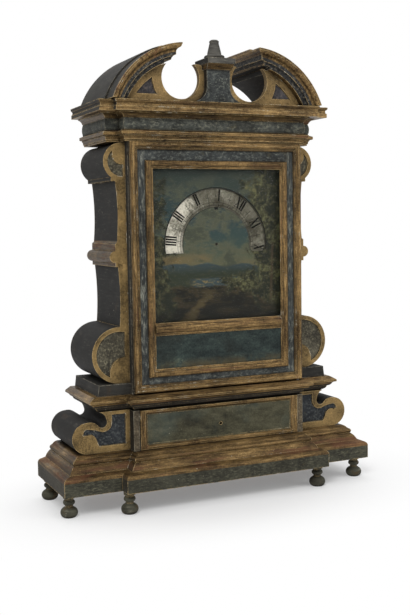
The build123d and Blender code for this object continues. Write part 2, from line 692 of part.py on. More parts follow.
def pedestal_cap():
    """Moulded cap: gilt cavetto below a plain slab."""
    z0 = Z_TOP + PEDESTAL_HEIGHT
    z1, z2 = z0 + CAP_HEIGHT / 2, z0 + CAP_HEIGHT
    half, rear, front = CAP_HALF_WIDTH, CAP_REAR, CAP_FRONT
    foot_rear, foot_front = rear + 8, PEDESTAL_FRONT + 4
    lower = loft([
        Pos(0, y_at((foot_rear + foot_front) / 2), z0) * Rectangle(2 * half - 5, foot_front - foot_rear),
        Pos(0, y_at((rear + front) / 2), z1) * Rectangle(2 * half - 1, front - rear - 4),
    ])
    return lower + board(-half, half, rear, front, z1, z2)


def finial():
    z0 = Z_TOP + PEDESTAL_HEIGHT + CAP_HEIGHT
    h = FINIAL_TOP - PEDESTAL_HEIGHT - CAP_HEIGHT
    face = outline(
        (0, 0), (19, 0), (19, 3), ((21, 6), (19, 9)), ((15.5, 10), (14.5, 13.5)), (9.2, h - 5),
        ((10.2, h - 3.5), (9.2, h - 2)), (7, h), (0, h),
    )
    return turned(0, FINIAL_D, z0, face)


# Front door

def door_span():
    """Underside and top of the front door."""
    return Z_CASE + DOOR_BOTTOM_GAP, Z_ARCHITRAVE - DOOR_TOP_GAP


def door_windows():
    """Sight edges of the glazed opening and of the panel below it, as x, low z and high z."""
    z0, z1 = door_span()
    x = INNER_MOULDING_HALF_WIDTH - INNER_MOULDING_WIDTH
    panel_low = z0 + INNER_MOULDING_BOTTOM + INNER_MOULDING_WIDTH
    panel_high = panel_low + PANEL_SIGHT_HEIGHT
    glass_low = panel_high + CROSS_RAIL_WIDTH
    glass_high = z1 - INNER_MOULDING_TOP - INNER_MOULDING_WIDTH
    return (x, glass_low, glass_high), (x, panel_low, panel_high)


def window(x, z0, z1, grow, d0, d1):
    return board(-x - grow, x + grow, d0, d1, z0 - grow, z1 + grow)


def door_pin_hole(z0, z1):
    return post(CASE_HALF_WIDTH - DOOR_PIVOT_INSET, DOOR_PIVOT_D, DOOR_PIVOT_RADIUS + PIVOT_CLEARANCE, z0, z1)


def door_frame():
    z0, z1 = door_span()
    shape = board(-CASE_HALF_WIDTH, CASE_HALF_WIDTH, DOOR_REAR, DOOR_BAND_FRONT, z0, z1)
    for opening in door_windows():
        shape -= window(*opening, SIGHT_LIP, DOOR_REAR - 1, DOOR_BAND_FRONT + 1)
    x, hole = CASE_HALF_WIDTH - DOOR_PIVOT_INSET, DOOR_PIVOT_RADIUS + FIXED_CLEARANCE
    for end in (z0, z1):
        shape -= post(x, DOOR_PIVOT_D, hole, end - DOOR_PIVOT_REACH, end + DOOR_PIVOT_REACH)
    return shape


def frame_bars(x, z0, z1, section, d0):
    """Four mitred bars round a rectangle. The section has inset across and height to the front."""
    reach = max(max(vertex.X for vertex in section.vertices()), 1)
    level = Plane(origin=(-x, y_at(d0), z0), x_dir=(1, 0, 0), z_dir=(0, 0, -1))
    upright = extrude(level * section, amount=z1 - z0, dir=(0, 0, 1))
    flat_plane = Plane(origin=(-x, y_at(d0), z0), x_dir=(0, 0, 1), z_dir=(1, 0, 0))
    flat = extrude(flat_plane * section, amount=2 * x, dir=(1, 0, 0))
    middle = (z0 + z1) / 2
    keep_left = Polygon((-x, z0), (-x + reach, z0 + reach), (-x + reach, z1 - reach), (-x, z1), align=None)
    keep_low = Polygon((-x, z0), (x, z0), (x - reach, z0 + reach), (-x + reach, z0 + reach), align=None)
    left = upright & prism(keep_left, d0 - reach, d0 + reach)
    low = flat & prism(keep_low, d0 - reach, d0 + reach)
    high = mirror(low, about=Plane(origin=(0, 0, middle), z_dir=(0, 0, 1)))
    return left + low + mirrored(left) + high


def door_outer_moulding():
    """Gilt moulding on the edge of the door: fillet, ogee and bead."""
    z0, z1 = door_span()
    h, w = DOOR_OUTER_FRONT - DOOR_BAND_FRONT, OUTER_MOULDING_WIDTH
    section = outline(
        (0, 0), (0, h - 2), ((1.2, h - 0.5), (4, h)), (5, h - 1.2), ((8, h - 1.5), (10, h - 4)),
        (w - 3.5, h - 5.5), ((w - 1.8, h - 4.5), (w, 2)), (w, 0),
    )
    return frame_bars(CASE_HALF_WIDTH, z0, z1, section, DOOR_BAND_FRONT)


def door_inner_moulding():
    """Gilt moulding round the glass and the panel, with its cross rail."""
    z0, z1 = door_span()
    h, w = DOOR_INNER_FRONT - DOOR_BAND_FRONT, INNER_MOULDING_WIDTH
    section = outline(
        (0, 0), (0, h - 2.5), ((1.5, h - 0.6), (4, h)), (7, h), ((10, h - 1.2), (11.5, h - 3.5)),
        (w, h - 4.5), (w, 0),
    )
    low, high = z0 + INNER_MOULDING_BOTTOM, z1 - INNER_MOULDING_TOP
    shape = frame_bars(INNER_MOULDING_HALF_WIDTH, low, high, section, DOOR_BAND_FRONT)
    glass, panel = door_windows()
    x, across = glass[0], CROSS_RAIL_WIDTH
    rail = outline(
        (0, 0), (across, 0), (across, h - 4.5), (across - 4.5, h - 3.5),
        ((across / 2, h + 0.3), (4.5, h - 3.5)), (0, h - 4.5),
    )
    plane = Plane(origin=(-x, y_at(DOOR_BAND_FRONT), panel[2]), x_dir=(0, 0, 1), z_dir=(1, 0, 0))
    return shape + extrude(plane * rail, amount=2 * x, dir=(1, 0, 0))


def door_glass():
    glass, panel = door_windows()
    d1 = DOOR_BAND_FRONT - GLASS_SETBACK
    return window(*glass, SIGHT_LIP - PANE_GAP, d1 - GLASS_THICKNESS, d1)


def door_panel():
    glass, panel = door_windows()
    return window(*panel, SIGHT_LIP - PANE_GAP, DOOR_BAND_FRONT - PANEL_THICKNESS, DOOR_BAND_FRONT)


def door_pivots():
    z0, z1 = door_span()
    x, reach = CASE_HALF_WIDTH - DOOR_PIVOT_INSET, DOOR_PIVOT_REACH - 1
    return Compound(children=[
        post(x, DOOR_PIVOT_D, DOOR_PIVOT_RADIUS, Z_CASE - reach, z0 + reach),
        post(x, DOOR_PIVOT_D, DOOR_PIVOT_RADIUS, z1 - reach, Z_ARCHITRAVE + reach),
    ])


# Dial

def dial_centre_z():
    return Z_CASE + DIAL_CENTRE_HEIGHT


def dial_frame():
    """Board inside the case with an opening behind the painted plate."""
    glass, panel = door_windows()
    half_width, rear = CASE_HALF_WIDTH - CASE_WALL - JOINT_GAP, CASE_FRONT - DIAL_FRAME_THICKNESS
    shape = board(-half_width, half_width, rear, CASE_FRONT, Z_CASE, Z_ARCHITRAVE)
    return shape - window(*glass, SIGHT_LIP, rear - 1, CASE_FRONT + 1)


def dial_plate():
    glass, panel = door_windows()
    z = dial_centre_z()
    front = CASE_FRONT + PLATE_THICKNESS
    plate = window(*glass, PLATE_LAP, CASE_FRONT, front)
    low = z - APERTURE_DROP
    slot = disc(0, z, APERTURE_OUTER_RADIUS) - disc(0, z, APERTURE_INNER_RADIUS)
    slot &= Pos(0, low + FAR / 2) * Rectangle(FAR, FAR)
    ends = [vertex for vertex in slot.vertices() if vertex.X > 0 and vertex.Y < z]
    slot = fillet(ends, APERTURE_END_RADIUS)
    plate -= prism(slot, CASE_FRONT - 1, front + 1)
    return plate - rod(0, z, ARBOR_RADIUS + RUNNING_CLEARANCE, CASE_FRONT - 1, front + 1)


def hour_ring_span():
    """Back and front of the hour ring."""
    front = CASE_FRONT - HOUR_RING_GAP
    return front - HOUR_RING_THICKNESS, front


def hour_ring():
    z = dial_centre_z()
    d0, d1 = hour_ring_span()
    face = disc(0, z, HOUR_RING_OUTER_RADIUS) - disc(0, z, HOUR_RING_INNER_RADIUS)
    reach = HOUR_RING_OUTER_RADIUS + HOUR_RING_INNER_RADIUS
    for angle in (45, 135):
        face += Pos(0, z) * Rot(0, 0, angle) * Rectangle(reach, HOUR_RING_SPOKE)
    face += disc(0, z, HOUR_RING_HUB)
    face -= disc(0, z, BARREL_ARBOR_RADIUS + FIXED_CLEARANCE)
    return prism(face, d0, d1)


# Movement

def gear_face(x, z, teeth, module, tooth_at, root_half, tip_half, addendum=0.9):
    """Straight-flanked toothed face with a tooth centred at the angle tooth_at, in degrees."""
    pitch = 360 / teeth
    root, tip = module * (teeth / 2 - 1.25), module * (teeth / 2 + addendum)
    points = []
    for index in range(teeth):
        middle = tooth_at + index * pitch
        for radius, share in ((root, -root_half), (tip, -tip_half), (tip, tip_half), (root, root_half)):
            angle = math.radians(middle + share * pitch)
            points.append((x + radius * math.cos(angle), z + radius * math.sin(angle)))
    return Polygon(*points, align=None)


def wheel_face(x, z, teeth, module, tooth_at):
    return gear_face(x, z, teeth, module, tooth_at, 0.27, 0.12)


def pinion_face(x, z, teeth, module, tooth_at):
    return gear_face(x, z, teeth, module, tooth_at, 0.20, 0.13)


def crossed_out(x, z, outer, hub, spoke):
    """Four openings between the rim and the hub of a wheel."""
    ring = disc(x, z, outer) - disc(x, z, hub)
    for angle in (0, 90):
        ring -= Pos(x, z) * Rot(0, 0, angle) * Rectangle(3 * outer, spoke)
    return ring


def direction(start, end):
    return math.degrees(math.atan2(end[1] - start[1], end[0] - start[0]))


def train_centres():
    """Arbor centres of the hour wheel, barrel, second wheel and contrate wheel, as x and z."""
    hour = (0.0, dial_centre_z())
    reach = HOUR_MODULE * (HOUR_WHEEL_TEETH + REPORT_PINION_TEETH) / 2
    barrel = (BARREL_OFFSET_X, hour[1] - math.sqrt(reach ** 2 - BARREL_OFFSET_X ** 2))
    reach = GREAT_MODULE * (GREAT_WHEEL_TEETH + PINION_LEAVES) / 2
    across = SECOND_OFFSET_X - barrel[0]
    second = (SECOND_OFFSET_X, barrel[1] + math.sqrt(reach ** 2 - across ** 2))
    reach = SECOND_MODULE * (SECOND_WHEEL_TEETH + PINION_LEAVES) / 2
    contrate = (0.0, second[1] + math.sqrt(reach ** 2 - second[0] ** 2))
    return hour, barrel, second, contrate


def plate_span():
    """Faces of the back plate and of the front plate."""
    back = BACK_PLATE_D + PLATE_GAUGE
    front = back + PLATE_SPACING
    return BACK_PLATE_D, back, front, front + PLATE_GAUGE


def plates_bottom():
    return Z_CASE + SEAT_HEIGHT + SEAT_THICKNESS


def contrate_radius():
    return CONTRATE_MODULE * CONTRATE_TEETH / 2


def crown_levels():
    """Heights along the crown wheel's upright arbor."""
    mesh = train_centres()[3][1] + contrate_radius()
    wheel = mesh + 15
    tips = wheel + CROWN_TOOTH * 2
    return mesh, wheel, tips, tips + 7


def seat_board():
    half_width = CASE_HALF_WIDTH - CASE_WALL + SEAT_GROOVE
    z0 = Z_CASE + SEAT_HEIGHT
    return board(-half_width, half_width, SEAT_REAR, SEAT_FRONT, z0, z0 + SEAT_THICKNESS)


def plate_blank(d0, d1):
    z0 = plates_bottom()
    return board(-PLATE_HALF_WIDTH, PLATE_HALF_WIDTH, d0, d1, z0, z0 + PLATE_HEIGHT)


def pillar_places():
    z0, z1 = plates_bottom() + PILLAR_MARGIN, plates_bottom() + PLATE_HEIGHT - PILLAR_MARGIN
    return [(x, z) for x in (-PILLAR_X, PILLAR_X) for z in (z0, z1)]


def pivot_holes(d0, d1, barrel_hole):
    """Holes that one plate has for the train, the verge and the pillars."""
    hour, barrel, second, contrate = train_centres()
    verge_z = crown_levels()[3]
    holes = rod(*barrel, barrel_hole + RUNNING_CLEARANCE, d0 - 1, d1 + 1)
    for x, z in (second, contrate):
        holes += rod(x, z, PIVOT_RADIUS + RUNNING_CLEARANCE, d0 - 1, d1 + 1)
    holes += rod(0, verge_z, VERGE_RADIUS + RUNNING_CLEARANCE, d0 - 1, d1 + 1)
    for x, z in pillar_places():
        holes += rod(x, z, PILLAR_RADIUS / 2 + FIXED_CLEARANCE, d0 - 1, d1 + 1)
    return holes


def movement_back_plate():
    d0, d1 = plate_span()[:2]
    return plate_blank(d0, d1) - pivot_holes(d0, d1, BARREL_ARBOR_RADIUS)


def movement_front_plate():
    d0, d1 = plate_span()[2:]
    hour = train_centres()[0]
    plate = plate_blank(d0, d1) - pivot_holes(d0, d1, BARREL_PIPE_RADIUS)
    return plate - rod(*hour, ARBOR_RADIUS + RUNNING_CLEARANCE, d0 - 1, d1 + 1)


def movement_pillars():
    back0, back1, front0, front1 = plate_span()
    pillars = []
    for x, z in pillar_places():
        spigot = rod(x, z, PILLAR_RADIUS / 2, back0, front1 + 2)
        pillars.append(spigot + rod(x, z, PILLAR_RADIUS, back1, front0))
    return Compound(children=pillars)


def hour_wheel():
    """Hour wheel on the arbor that carries the ring, from the front plate to the painted plate."""
    hour, barrel, second, contrate = train_centres()
    x, z = hour
    front = plate_span()[3]
    d0, d1 = front + 4, front + 7
    face = wheel_face(x, z, HOUR_WHEEL_TEETH, HOUR_MODULE, direction(hour, barrel))
    outer = HOUR_MODULE * (HOUR_WHEEL_TEETH / 2 - 1.25) - 4
    face -= crossed_out(x, z, outer, 8, 5)
    ring_front = hour_ring_span()[1]
    shape = prism(face, d0, d1) + rod(x, z, BARREL_ARBOR_RADIUS, front + 0.3, ring_front)
    shape += rod(x, z, BARREL_ARBOR_RADIUS + 3, d1, d1 + 4)
    shape += rod(x, z, BARREL_ARBOR_RADIUS + 3, hour_ring_span()[0] - 6, hour_ring_span()[0])
    return shape + rod(x, z, ARBOR_RADIUS, front - PLATE_GAUGE, CASE_FRONT + PLATE_THICKNESS)


def report_pinion():
    hour, barrel, second, contrate = train_centres()
    front = plate_span()[3]
    tooth_at = direction(barrel, hour) + 180 / REPORT_PINION_TEETH
    face = pinion_face(*barrel, REPORT_PINION_TEETH, HOUR_MODULE, tooth_at)
    face -= disc(*barrel, BARREL_PIPE_RADIUS + RUNNING_CLEARANCE)
    return prism(face, front + 3, front + 8)


def barrel():
    """Going barrel: drum with the great wheel behind it and a pipe through the front plate."""
    hour, centre, second, contrate = train_centres()
    back = plate_span()[1]
    front = plate_span()[3]
    wheel0, wheel1 = back + 8.5, back + 12
    drum1 = wheel1 + BARREL_LENGTH
    drum = rod(*centre, BARREL_RADIUS, wheel1, drum1) + rod(*centre, BARREL_RADIUS - 3, drum1, drum1 + 1)
    face = wheel_face(*centre, GREAT_WHEEL_TEETH, GREAT_MODULE, direction(centre, second))
    shape = drum + prism(face, wheel0, wheel1)
    shape += rod(*centre, BARREL_PIPE_RADIUS, drum1 + 1, front + 11)
    return shape - rod(*centre, BARREL_ARBOR_RADIUS + RUNNING_CLEARANCE, back, front + 12)


def barrel_arbor():
    """Winding arbor through the barrel, with a square for the key behind the back plate."""
    centre = train_centres()[1]
    back0, back1, front0, front1 = plate_span()
    shape = rod(*centre, BARREL_ARBOR_RADIUS, back0 - 1, front1 + 14)
    shape += rod(*centre, BARREL_ARBOR_RADIUS + 2, back1 + 0.3, back1 + 8.2)
    side = BARREL_ARBOR_RADIUS * math.sqrt(2) - 0.1
    return shape + prism(Pos(*centre) * Rectangle(side, side), back0 - 13, back0 - 1)


def arbor(centre, collar_from, collar_to):
    """Arbor between the plates with a thinner pivot at each end."""
    back0, back1, front0, front1 = plate_span()
    shape = rod(*centre, ARBOR_RADIUS, back1 + 0.3, front0 - 0.3)
    shape += rod(*centre, PIVOT_RADIUS, back0, front1)
    return shape + rod(*centre, ARBOR_RADIUS + 2.5, collar_from, collar_to)


def second_wheel():
    hour, barrel_centre, second, contrate = train_centres()
    back1, front0 = plate_span()[1:3]
    wheel1 = front0 - 10
    wheel0 = wheel1 - 2
    face = wheel_face(*second, SECOND_WHEEL_TEETH, SECOND_MODULE, direction(second, contrate))
    face -= crossed_out(*second, SECOND_MODULE * (SECOND_WHEEL_TEETH / 2 - 1.25) - 3.5, 7, 4.5)
    tooth_at = direction(second, barrel_centre) + 180 / PINION_LEAVES
    leaves = pinion_face(*second, PINION_LEAVES, GREAT_MODULE, tooth_at)
    shape = prism(face, wheel0, wheel1) + prism(leaves, back1 + 7, back1 + 13.5)
    return shape + arbor(second, wheel0 - 4, wheel0)


def contrate_wheel():
    """Wheel whose teeth stand up from its rim, towards the crown wheel's upright pinion."""
    hour, barrel_centre, second, contrate = train_centres()
    front0 = plate_span()[2]
    x, z = contrate
    mean = contrate_radius()
    disc0 = CROWN_D + 8
    face = disc(x, z, mean + 1.5) - crossed_out(x, z, mean - 3, 6, 4.5)
    shape = prism(face, disc0, disc0 + 2)
    shape += prism(disc(x, z, mean + 1.5) - disc(x, z, mean - 2), disc0 - 3, disc0)
    pitch = 360 / CONTRATE_TEETH
    tooth = Rectangle(3.5, 0.36 * CONTRATE_MODULE * math.pi)
    teeth = []
    for index in range(CONTRATE_TEETH):
        place = Pos(x, z) * Rot(0, 0, 90 + (index + 0.5) * pitch) * Pos(mean - 0.25, 0)
        teeth.append(prism(place * tooth, CROWN_D + contrate_tooth_gap(), disc0 - 3))
    shape += teeth
    tooth_at = direction(contrate, second) + 180 / PINION_LEAVES
    leaves = pinion_face(x, z, PINION_LEAVES, SECOND_MODULE, tooth_at)
    return shape + prism(leaves, front0 - 13.5, front0 - 8.5) + arbor(contrate, disc0 + 2, disc0 + 5)


def contrate_tooth_gap():
    """Distance from the crown wheel's axis to the tips of the contrate teeth."""
    return CONTRATE_MODULE * PINION_LEAVES / 2 - 0.4 * CONTRATE_MODULE


def crown_wheel():
    """Upright arbor with its pinion and the crown wheel, whose pointed teeth face the verge."""
    mesh, wheel, tips, verge_z = crown_levels()
    shape = post(0, CROWN_D, ARBOR_RADIUS, mesh - 11.5, wheel + 1)
    shape += post(0, CROWN_D, PIVOT_RADIUS, mesh - 17.5, mesh - 11.5)
    floor_plane = Plane(origin=(0, y_at(CROWN_D), mesh - 3.5), x_dir=(1, 0, 0), z_dir=(0, 0, 1))
    leaves = pinion_face(0, 0, PINION_LEAVES, CONTRATE_MODULE, 90)
    shape += extrude(floor_plane * leaves, amount=7, dir=(0, 0, 1))
    wall = 3.0
    cup = post(0, CROWN_D, CROWN_RADIUS, wheel, wheel + CROWN_TOOTH)
    cup -= post(0, CROWN_D, CROWN_RADIUS - wall, wheel + 2, wheel + CROWN_TOOTH + 1)
    shape += cup
    width = 2 * math.pi * CROWN_RADIUS / CROWN_TEETH
    saw = Polygon((0, 0), (width * 0.85, 0), (0.8, CROWN_TOOTH), (0, CROWN_TOOTH), align=None)
    for index in range(CROWN_TEETH):
        place = Pos(0, y_at(CROWN_D), wheel + CROWN_TOOTH) * Rot(0, 0, index * 360 / CROWN_TEETH)
        plane = Plane(origin=(0, -CROWN_RADIUS + 0.3, 0), x_dir=(1, 0, 0), z_dir=(0, -1, 0))
        shape += place * extrude(plane * saw, amount=wall - 0.6, dir=(0, 1, 0))
    return shape


def crown_wheel_potence():
    """Bracket on the back plate whose two arms hold the crown wheel's arbor."""
    mesh, wheel, tips, verge_z = crown_levels()
    back = plate_span()[1]
    low, high = mesh - 15.5 - RUNNING_CLEARANCE, mesh + 10.5
    shape = board(-6, 6, back, back + 5, low, high)
    for z0 in (low, high - 4):
        shape += board(-6, 6, back + 5, CROWN_D + 5, z0, z0 + 4)
    shape -= post(0, CROWN_D, PIVOT_RADIUS + RUNNING_CLEARANCE, low - 1, low + 5)
    return shape - post(0, CROWN_D, ARBOR_RADIUS + RUNNING_CLEARANCE, high - 5, high + 1)


def verge():
    """Arbor over the crown wheel with its two pallets."""
    verge_z = crown_levels()[3]
    front1 = plate_span()[3]
    shape = rod(0, verge_z, VERGE_RADIUS, PENDULUM_D - 4, front1)
    mean = CROWN_RADIUS - 1.5
    for side in (-1, 1):
        place = Pos(0, verge_z) * Rot(0, 0, -90 + side * PALLET_ANGLE) * Pos(PALLET_LENGTH / 2, 0)
        flag, d = place * Rectangle(PALLET_LENGTH, 1), CROWN_D + side * mean
        shape += prism(flag, d - 3, d + 3)
    return shape


def pendulum():
    """Rod that hangs behind the back plate, with its flat round bob."""
    verge_z = crown_levels()[3]
    x, z = 0, verge_z - PENDULUM_LENGTH
    shape = post(0, PENDULUM_D, 1.5, z, verge_z - VERGE_RADIUS - 1)
    shape += rod(0, verge_z, VERGE_RADIUS + 3, PENDULUM_D - 3, PENDULUM_D + 3)
    bob = Pos(0, y_at(PENDULUM_D), z) * Rot(90, 0, 0) * Cylinder(BOB_RADIUS, BOB_THICKNESS)
    bob = chamfer(bob.edges(), BOB_THICKNESS / 2 - 2, 6)
    shape += bob
    return shape - rod(0, verge_z, VERGE_RADIUS + FIXED_CLEARANCE, PENDULUM_D - 10, PENDULUM_D + 10)


# Every node, in the order in which the clock goes together

nodes = {
    "base_moulding": base_moulding(), "base_board": base_board(), "base_deck": base_deck(),
    "waist_cornice": waist_cornice(), "case_floor": case_floor(), "case_back": case_back(),
    "architrave": architrave(), "frieze": frieze(), "cornice": cornice(), "pediment_deck": pediment_deck(),
    "tympanum": tympanum(), "pedestal": pedestal(), "pedestal_cap": pedestal_cap(), "finial": finial(),
    "dial_frame": dial_frame(), "dial_plate": dial_plate(), "seat_board": seat_board(),
    "door_frame": door_frame(), "door_outer_moulding": door_outer_moulding(),
    "door_inner_moulding": door_inner_moulding(), "door_glass": door_glass(), "door_panel": door_panel(),
    "door_pivots": door_pivots(), "back_door": back_door(),
    "drawer_front": drawer_front(), "drawer_box": drawer_box(),
    "hour_ring": hour_ring(), "hour_wheel": hour_wheel(),
    "movement_front_plate": movement_front_plate(), "movement_back_plate": movement_back_plate(),
    "movement_pillars": movement_pillars(), "crown_wheel_potence": crown_wheel_potence(),
    "report_pinion": report_pinion(), "barrel": barrel(), "barrel_arbor": barrel_arbor(),
    "second_wheel": second_wheel(), "contrate_wheel": contrate_wheel(), "crown_wheel": crown_wheel(),
    "verge": verge(), "pendulum": pendulum(),
}
for name, place in FOOT_PLACES.items():
    nodes[name] = foot(*place)
for name, make in (
    ("podium_side", podium_side), ("bracket", bracket), ("scroll_plinth", scroll_plinth),
    ("case_side", case_side), ("side_scroll", side_scroll), ("arch_moulding", arch_moulding), ("roof", roof),
):
    right = make()
    nodes[name + "_right"] = right
    nodes[name + "_left"] = mirrored(right)

os.makedirs("parts", exist_ok=True)
for name, shape in nodes.items():
    export_step(shape, "parts/" + name + ".step")
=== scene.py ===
import json
import math

import bmesh
import bpy
from mathutils import Matrix, Vector


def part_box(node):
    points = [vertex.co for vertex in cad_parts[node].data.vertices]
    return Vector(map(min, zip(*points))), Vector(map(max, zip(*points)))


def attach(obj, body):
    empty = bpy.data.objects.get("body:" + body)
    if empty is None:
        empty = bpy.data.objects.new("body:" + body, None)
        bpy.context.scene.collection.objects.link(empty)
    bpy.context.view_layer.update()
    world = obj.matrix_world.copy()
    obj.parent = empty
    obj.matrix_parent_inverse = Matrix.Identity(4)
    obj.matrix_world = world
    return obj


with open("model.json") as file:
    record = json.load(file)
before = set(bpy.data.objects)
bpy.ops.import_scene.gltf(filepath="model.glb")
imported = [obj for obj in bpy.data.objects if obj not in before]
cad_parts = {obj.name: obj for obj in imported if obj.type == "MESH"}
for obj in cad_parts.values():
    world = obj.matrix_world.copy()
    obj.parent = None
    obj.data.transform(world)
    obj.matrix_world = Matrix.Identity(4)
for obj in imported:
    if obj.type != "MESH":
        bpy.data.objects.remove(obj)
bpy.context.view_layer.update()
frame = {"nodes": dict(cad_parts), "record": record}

# How much each axis is squeezed in a pattern: even, or drawn out along the piece
EVEN = (1, 1, 1)
LEVEL = (0.22, 0.22, 2.6)
UPRIGHT = (2.6, 2.6, 0.22)


class Value:
    """One number inside a finish. Python's own operators add the Math nodes."""

    def __init__(self, finish, socket):
        self.finish, self.socket = finish, socket

    def math(self, operation, *terms):
        return self.finish.math(operation, *terms)

    def __add__(self, other):
        return self.math("ADD", self, other)

    def __sub__(self, other):
        return self.math("SUBTRACT", self, other)

    def __mul__(self, other):
        return self.math("MULTIPLY", self, other)

    def __truediv__(self, other):
        return self.math("DIVIDE", self, other)

    def __abs__(self):
        return self.math("ABSOLUTE", self)

    def __rsub__(self, other):
        return self.math("SUBTRACT", other, self)

    __radd__, __rmul__ = __add__, __mul__

    def sine(self):
        return self.math("SINE", self)

    def root(self):
        return self.math("SQRT", self)

    def least(self, other):
        return self.math("MINIMUM", self, other)

    def most(self, other):
        return self.math("MAXIMUM", self, other)

    def rise(self, low, high):
        """0 below low, 1 above high, smooth between them. low may be the larger, for a fall."""
        node = self.finish.node("ShaderNodeMapRange", {"interpolation_type": "SMOOTHSTEP"},
                                {0: self, 1: low, 2: high, 3: 0.0, 4: 1.0})
        return Value(self.finish, node.outputs[0])

    def within(self, low, high, soft=0.0005):
        """1 between low and high."""
        return self.rise(low - soft, low + soft) * self.rise(high + soft, high - soft)


class Finish:
    """One material: its nodes, its object coordinates in metres and its shader."""

    def __init__(self, name):
        self.material = bpy.data.materials.new(name)
        self.material.use_nodes = True
        self.tree = self.material.node_tree
        self.shader = self.tree.nodes["Principled BSDF"]
        self.place = self.node("ShaderNodeTexCoord").outputs["Object"]
        self.x, self.y, self.z = self.split(self.place)
        self.normal = self.node("ShaderNodeNewGeometry").outputs["Normal"]
        self.nx, self.ny, self.nz = self.split(self.normal)

    def node(self, kind, settings=None, inputs=None, stops=None):
        """Adds a node: its settings first, then a ramp's stops, then the values or links of its sockets."""
        made = self.tree.nodes.new(kind)
        for key, value in (settings or {}).items():
            setattr(made, key, value)
        if stops:
            ramp = made.color_ramp
            while len(ramp.elements) < len(stops):
                ramp.elements.new(0.5)
            for element, (at, colour) in zip(ramp.elements, stops):
                element.position, element.color = at, (*colour, 1)
        for key, value in (inputs or {}).items():
            self.feed(made.inputs[key], value)
        return made

    def feed(self, socket, value):
        if isinstance(value, Value):
            value = value.socket
        if isinstance(value, bpy.types.NodeSocket):
            self.tree.links.new(value, socket)
        elif isinstance(value, tuple) and len(value) == 3 and len(socket.default_value) == 4:
            socket.default_value = (*value, 1)
        else:
            socket.default_value = value

    def math(self, operation, *terms):
        node = self.node("ShaderNodeMath", {"operation": operation}, dict(enumerate(terms)))
        return Value(self, node.outputs[0])

    def split(self, vector):
        return [Value(self, out) for out in self.node("ShaderNodeSeparateXYZ", None, {0: vector}).outputs]

    def stretched(self, stretch, start):
        """The object coordinates, scaled on each axis and moved."""
        return self.node("ShaderNodeMapping", None, {0: self.place, 1: start, 3: stretch}).outputs[0]

    def noise(self, scale, detail=4.0, rough=0.55, stretch=EVEN, start=(0.0, 0.0, 0.0), warp=0.0):
        node = self.node("ShaderNodeTexNoise", None, {
            "Vector": self.stretched(stretch, start), "Scale": scale, "Detail": detail,
            "Roughness": rough, "Distortion": warp,
        })
        return Value(self, node.outputs[0])

    def ramp(self, value, *stops):
        """Colour that follows value through the stops, each a position and a colour as paint() takes it."""
        stops = [(at, paint(*tint)) for at, tint in stops]
        return self.node("ShaderNodeValToRGB", None, {0: value}, stops).outputs[0]

    def mix(self, first, second, share, blend="MIX"):
        """Colour that goes from first to second."""
        settings = {"data_type": "RGBA", "blend_type": blend}
        return self.node("ShaderNodeMix", settings, {0: share, 6: first, 7: second}).outputs[2]

    def edges(self, radius):
        """1 along the edges of the piece, 0 on its faces."""
        bevel = self.node("ShaderNodeBevel", {"samples": 6}, {0: radius})
        dot = self.node("ShaderNodeVectorMath", {"operation": "DOT_PRODUCT"},
                        {0: bevel.outputs[0], 1: self.normal})
        return (1.0 - Value(self, dot.outputs[1])).rise(0.005, 0.12)

    def hollows(self, distance):
        """1 in corners and grooves, 0 in the open."""
        node = self.node("ShaderNodeAmbientOcclusion", {"samples": 6}, {1: distance})
        return (1.0 - Value(self, node.outputs[1])).rise(0.15, 0.75)

    def fronts(self):
        """1 on the faces turned to the front."""
        return self.ny.rise(-0.5, -0.8)

    def backs(self):
        """1 on the faces turned to the back."""
        return self.ny.rise(0.5, 0.8)

    def returns(self):
        """1 on the faces turned to either side."""
        return abs(self.nx).rise(0.5, 0.8)

    def bump(self, height, distance):
        node = self.node("ShaderNodeBump", None, {"Strength": 1.0, "Distance": distance, "Height": height})
        self.tree.links.new(node.outputs[0], self.shader.inputs["Normal"])

    def dress(self, colour, roughness, metallic=0.0, shine=0.12):
        """Feeds the shader. Shine stays low, so that the white surroundings put no veil on dark paint."""
        self.feed(self.shader.inputs["Base Color"], colour)
        self.feed(self.shader.inputs["Roughness"], roughness)
        self.feed(self.shader.inputs["Metallic"], metallic)
        self.shader.inputs["Specular IOR Level"].default_value = shine


def paint(red, green, blue):
    """A colour given on the screen's scale of 0 to 255, as Blender wants it."""
    def level(value):
        value /= 255
        return value / 12.92 if value <= 0.04045 else ((value + 0.055) / 1.055) ** 2.4
    return level(red), level(green), level(blue)


def toned(tint, share):
    """The tint made darker or paler."""
    return paint(*[min(level * share, 255) for level in tint])


GESSO = paint(196, 188, 168)
PALE_GOLD = paint(182, 156, 108)
RED_BOLE = paint(92, 58, 42)
# Near-black brown, for dirt and for painted shade in corners and grooves
DIRT_AND_SHADE = paint(24, 20, 15)

# Height between the podium with the drawer and the storey above it
PODIUM_TOP = 0.21

# Distances from the hour ring's centre: engraved lines, quarter marks, numerals
RING_LINES = (0.0798, 0.0814, 0.0868, 0.1146)
QUARTER_MARKS = (0.0803, 0.0868)
NUMERALS = (0.0895, 0.1138)


# Each coat below gives colour, roughness, metallic and height of one painted or gilded surface

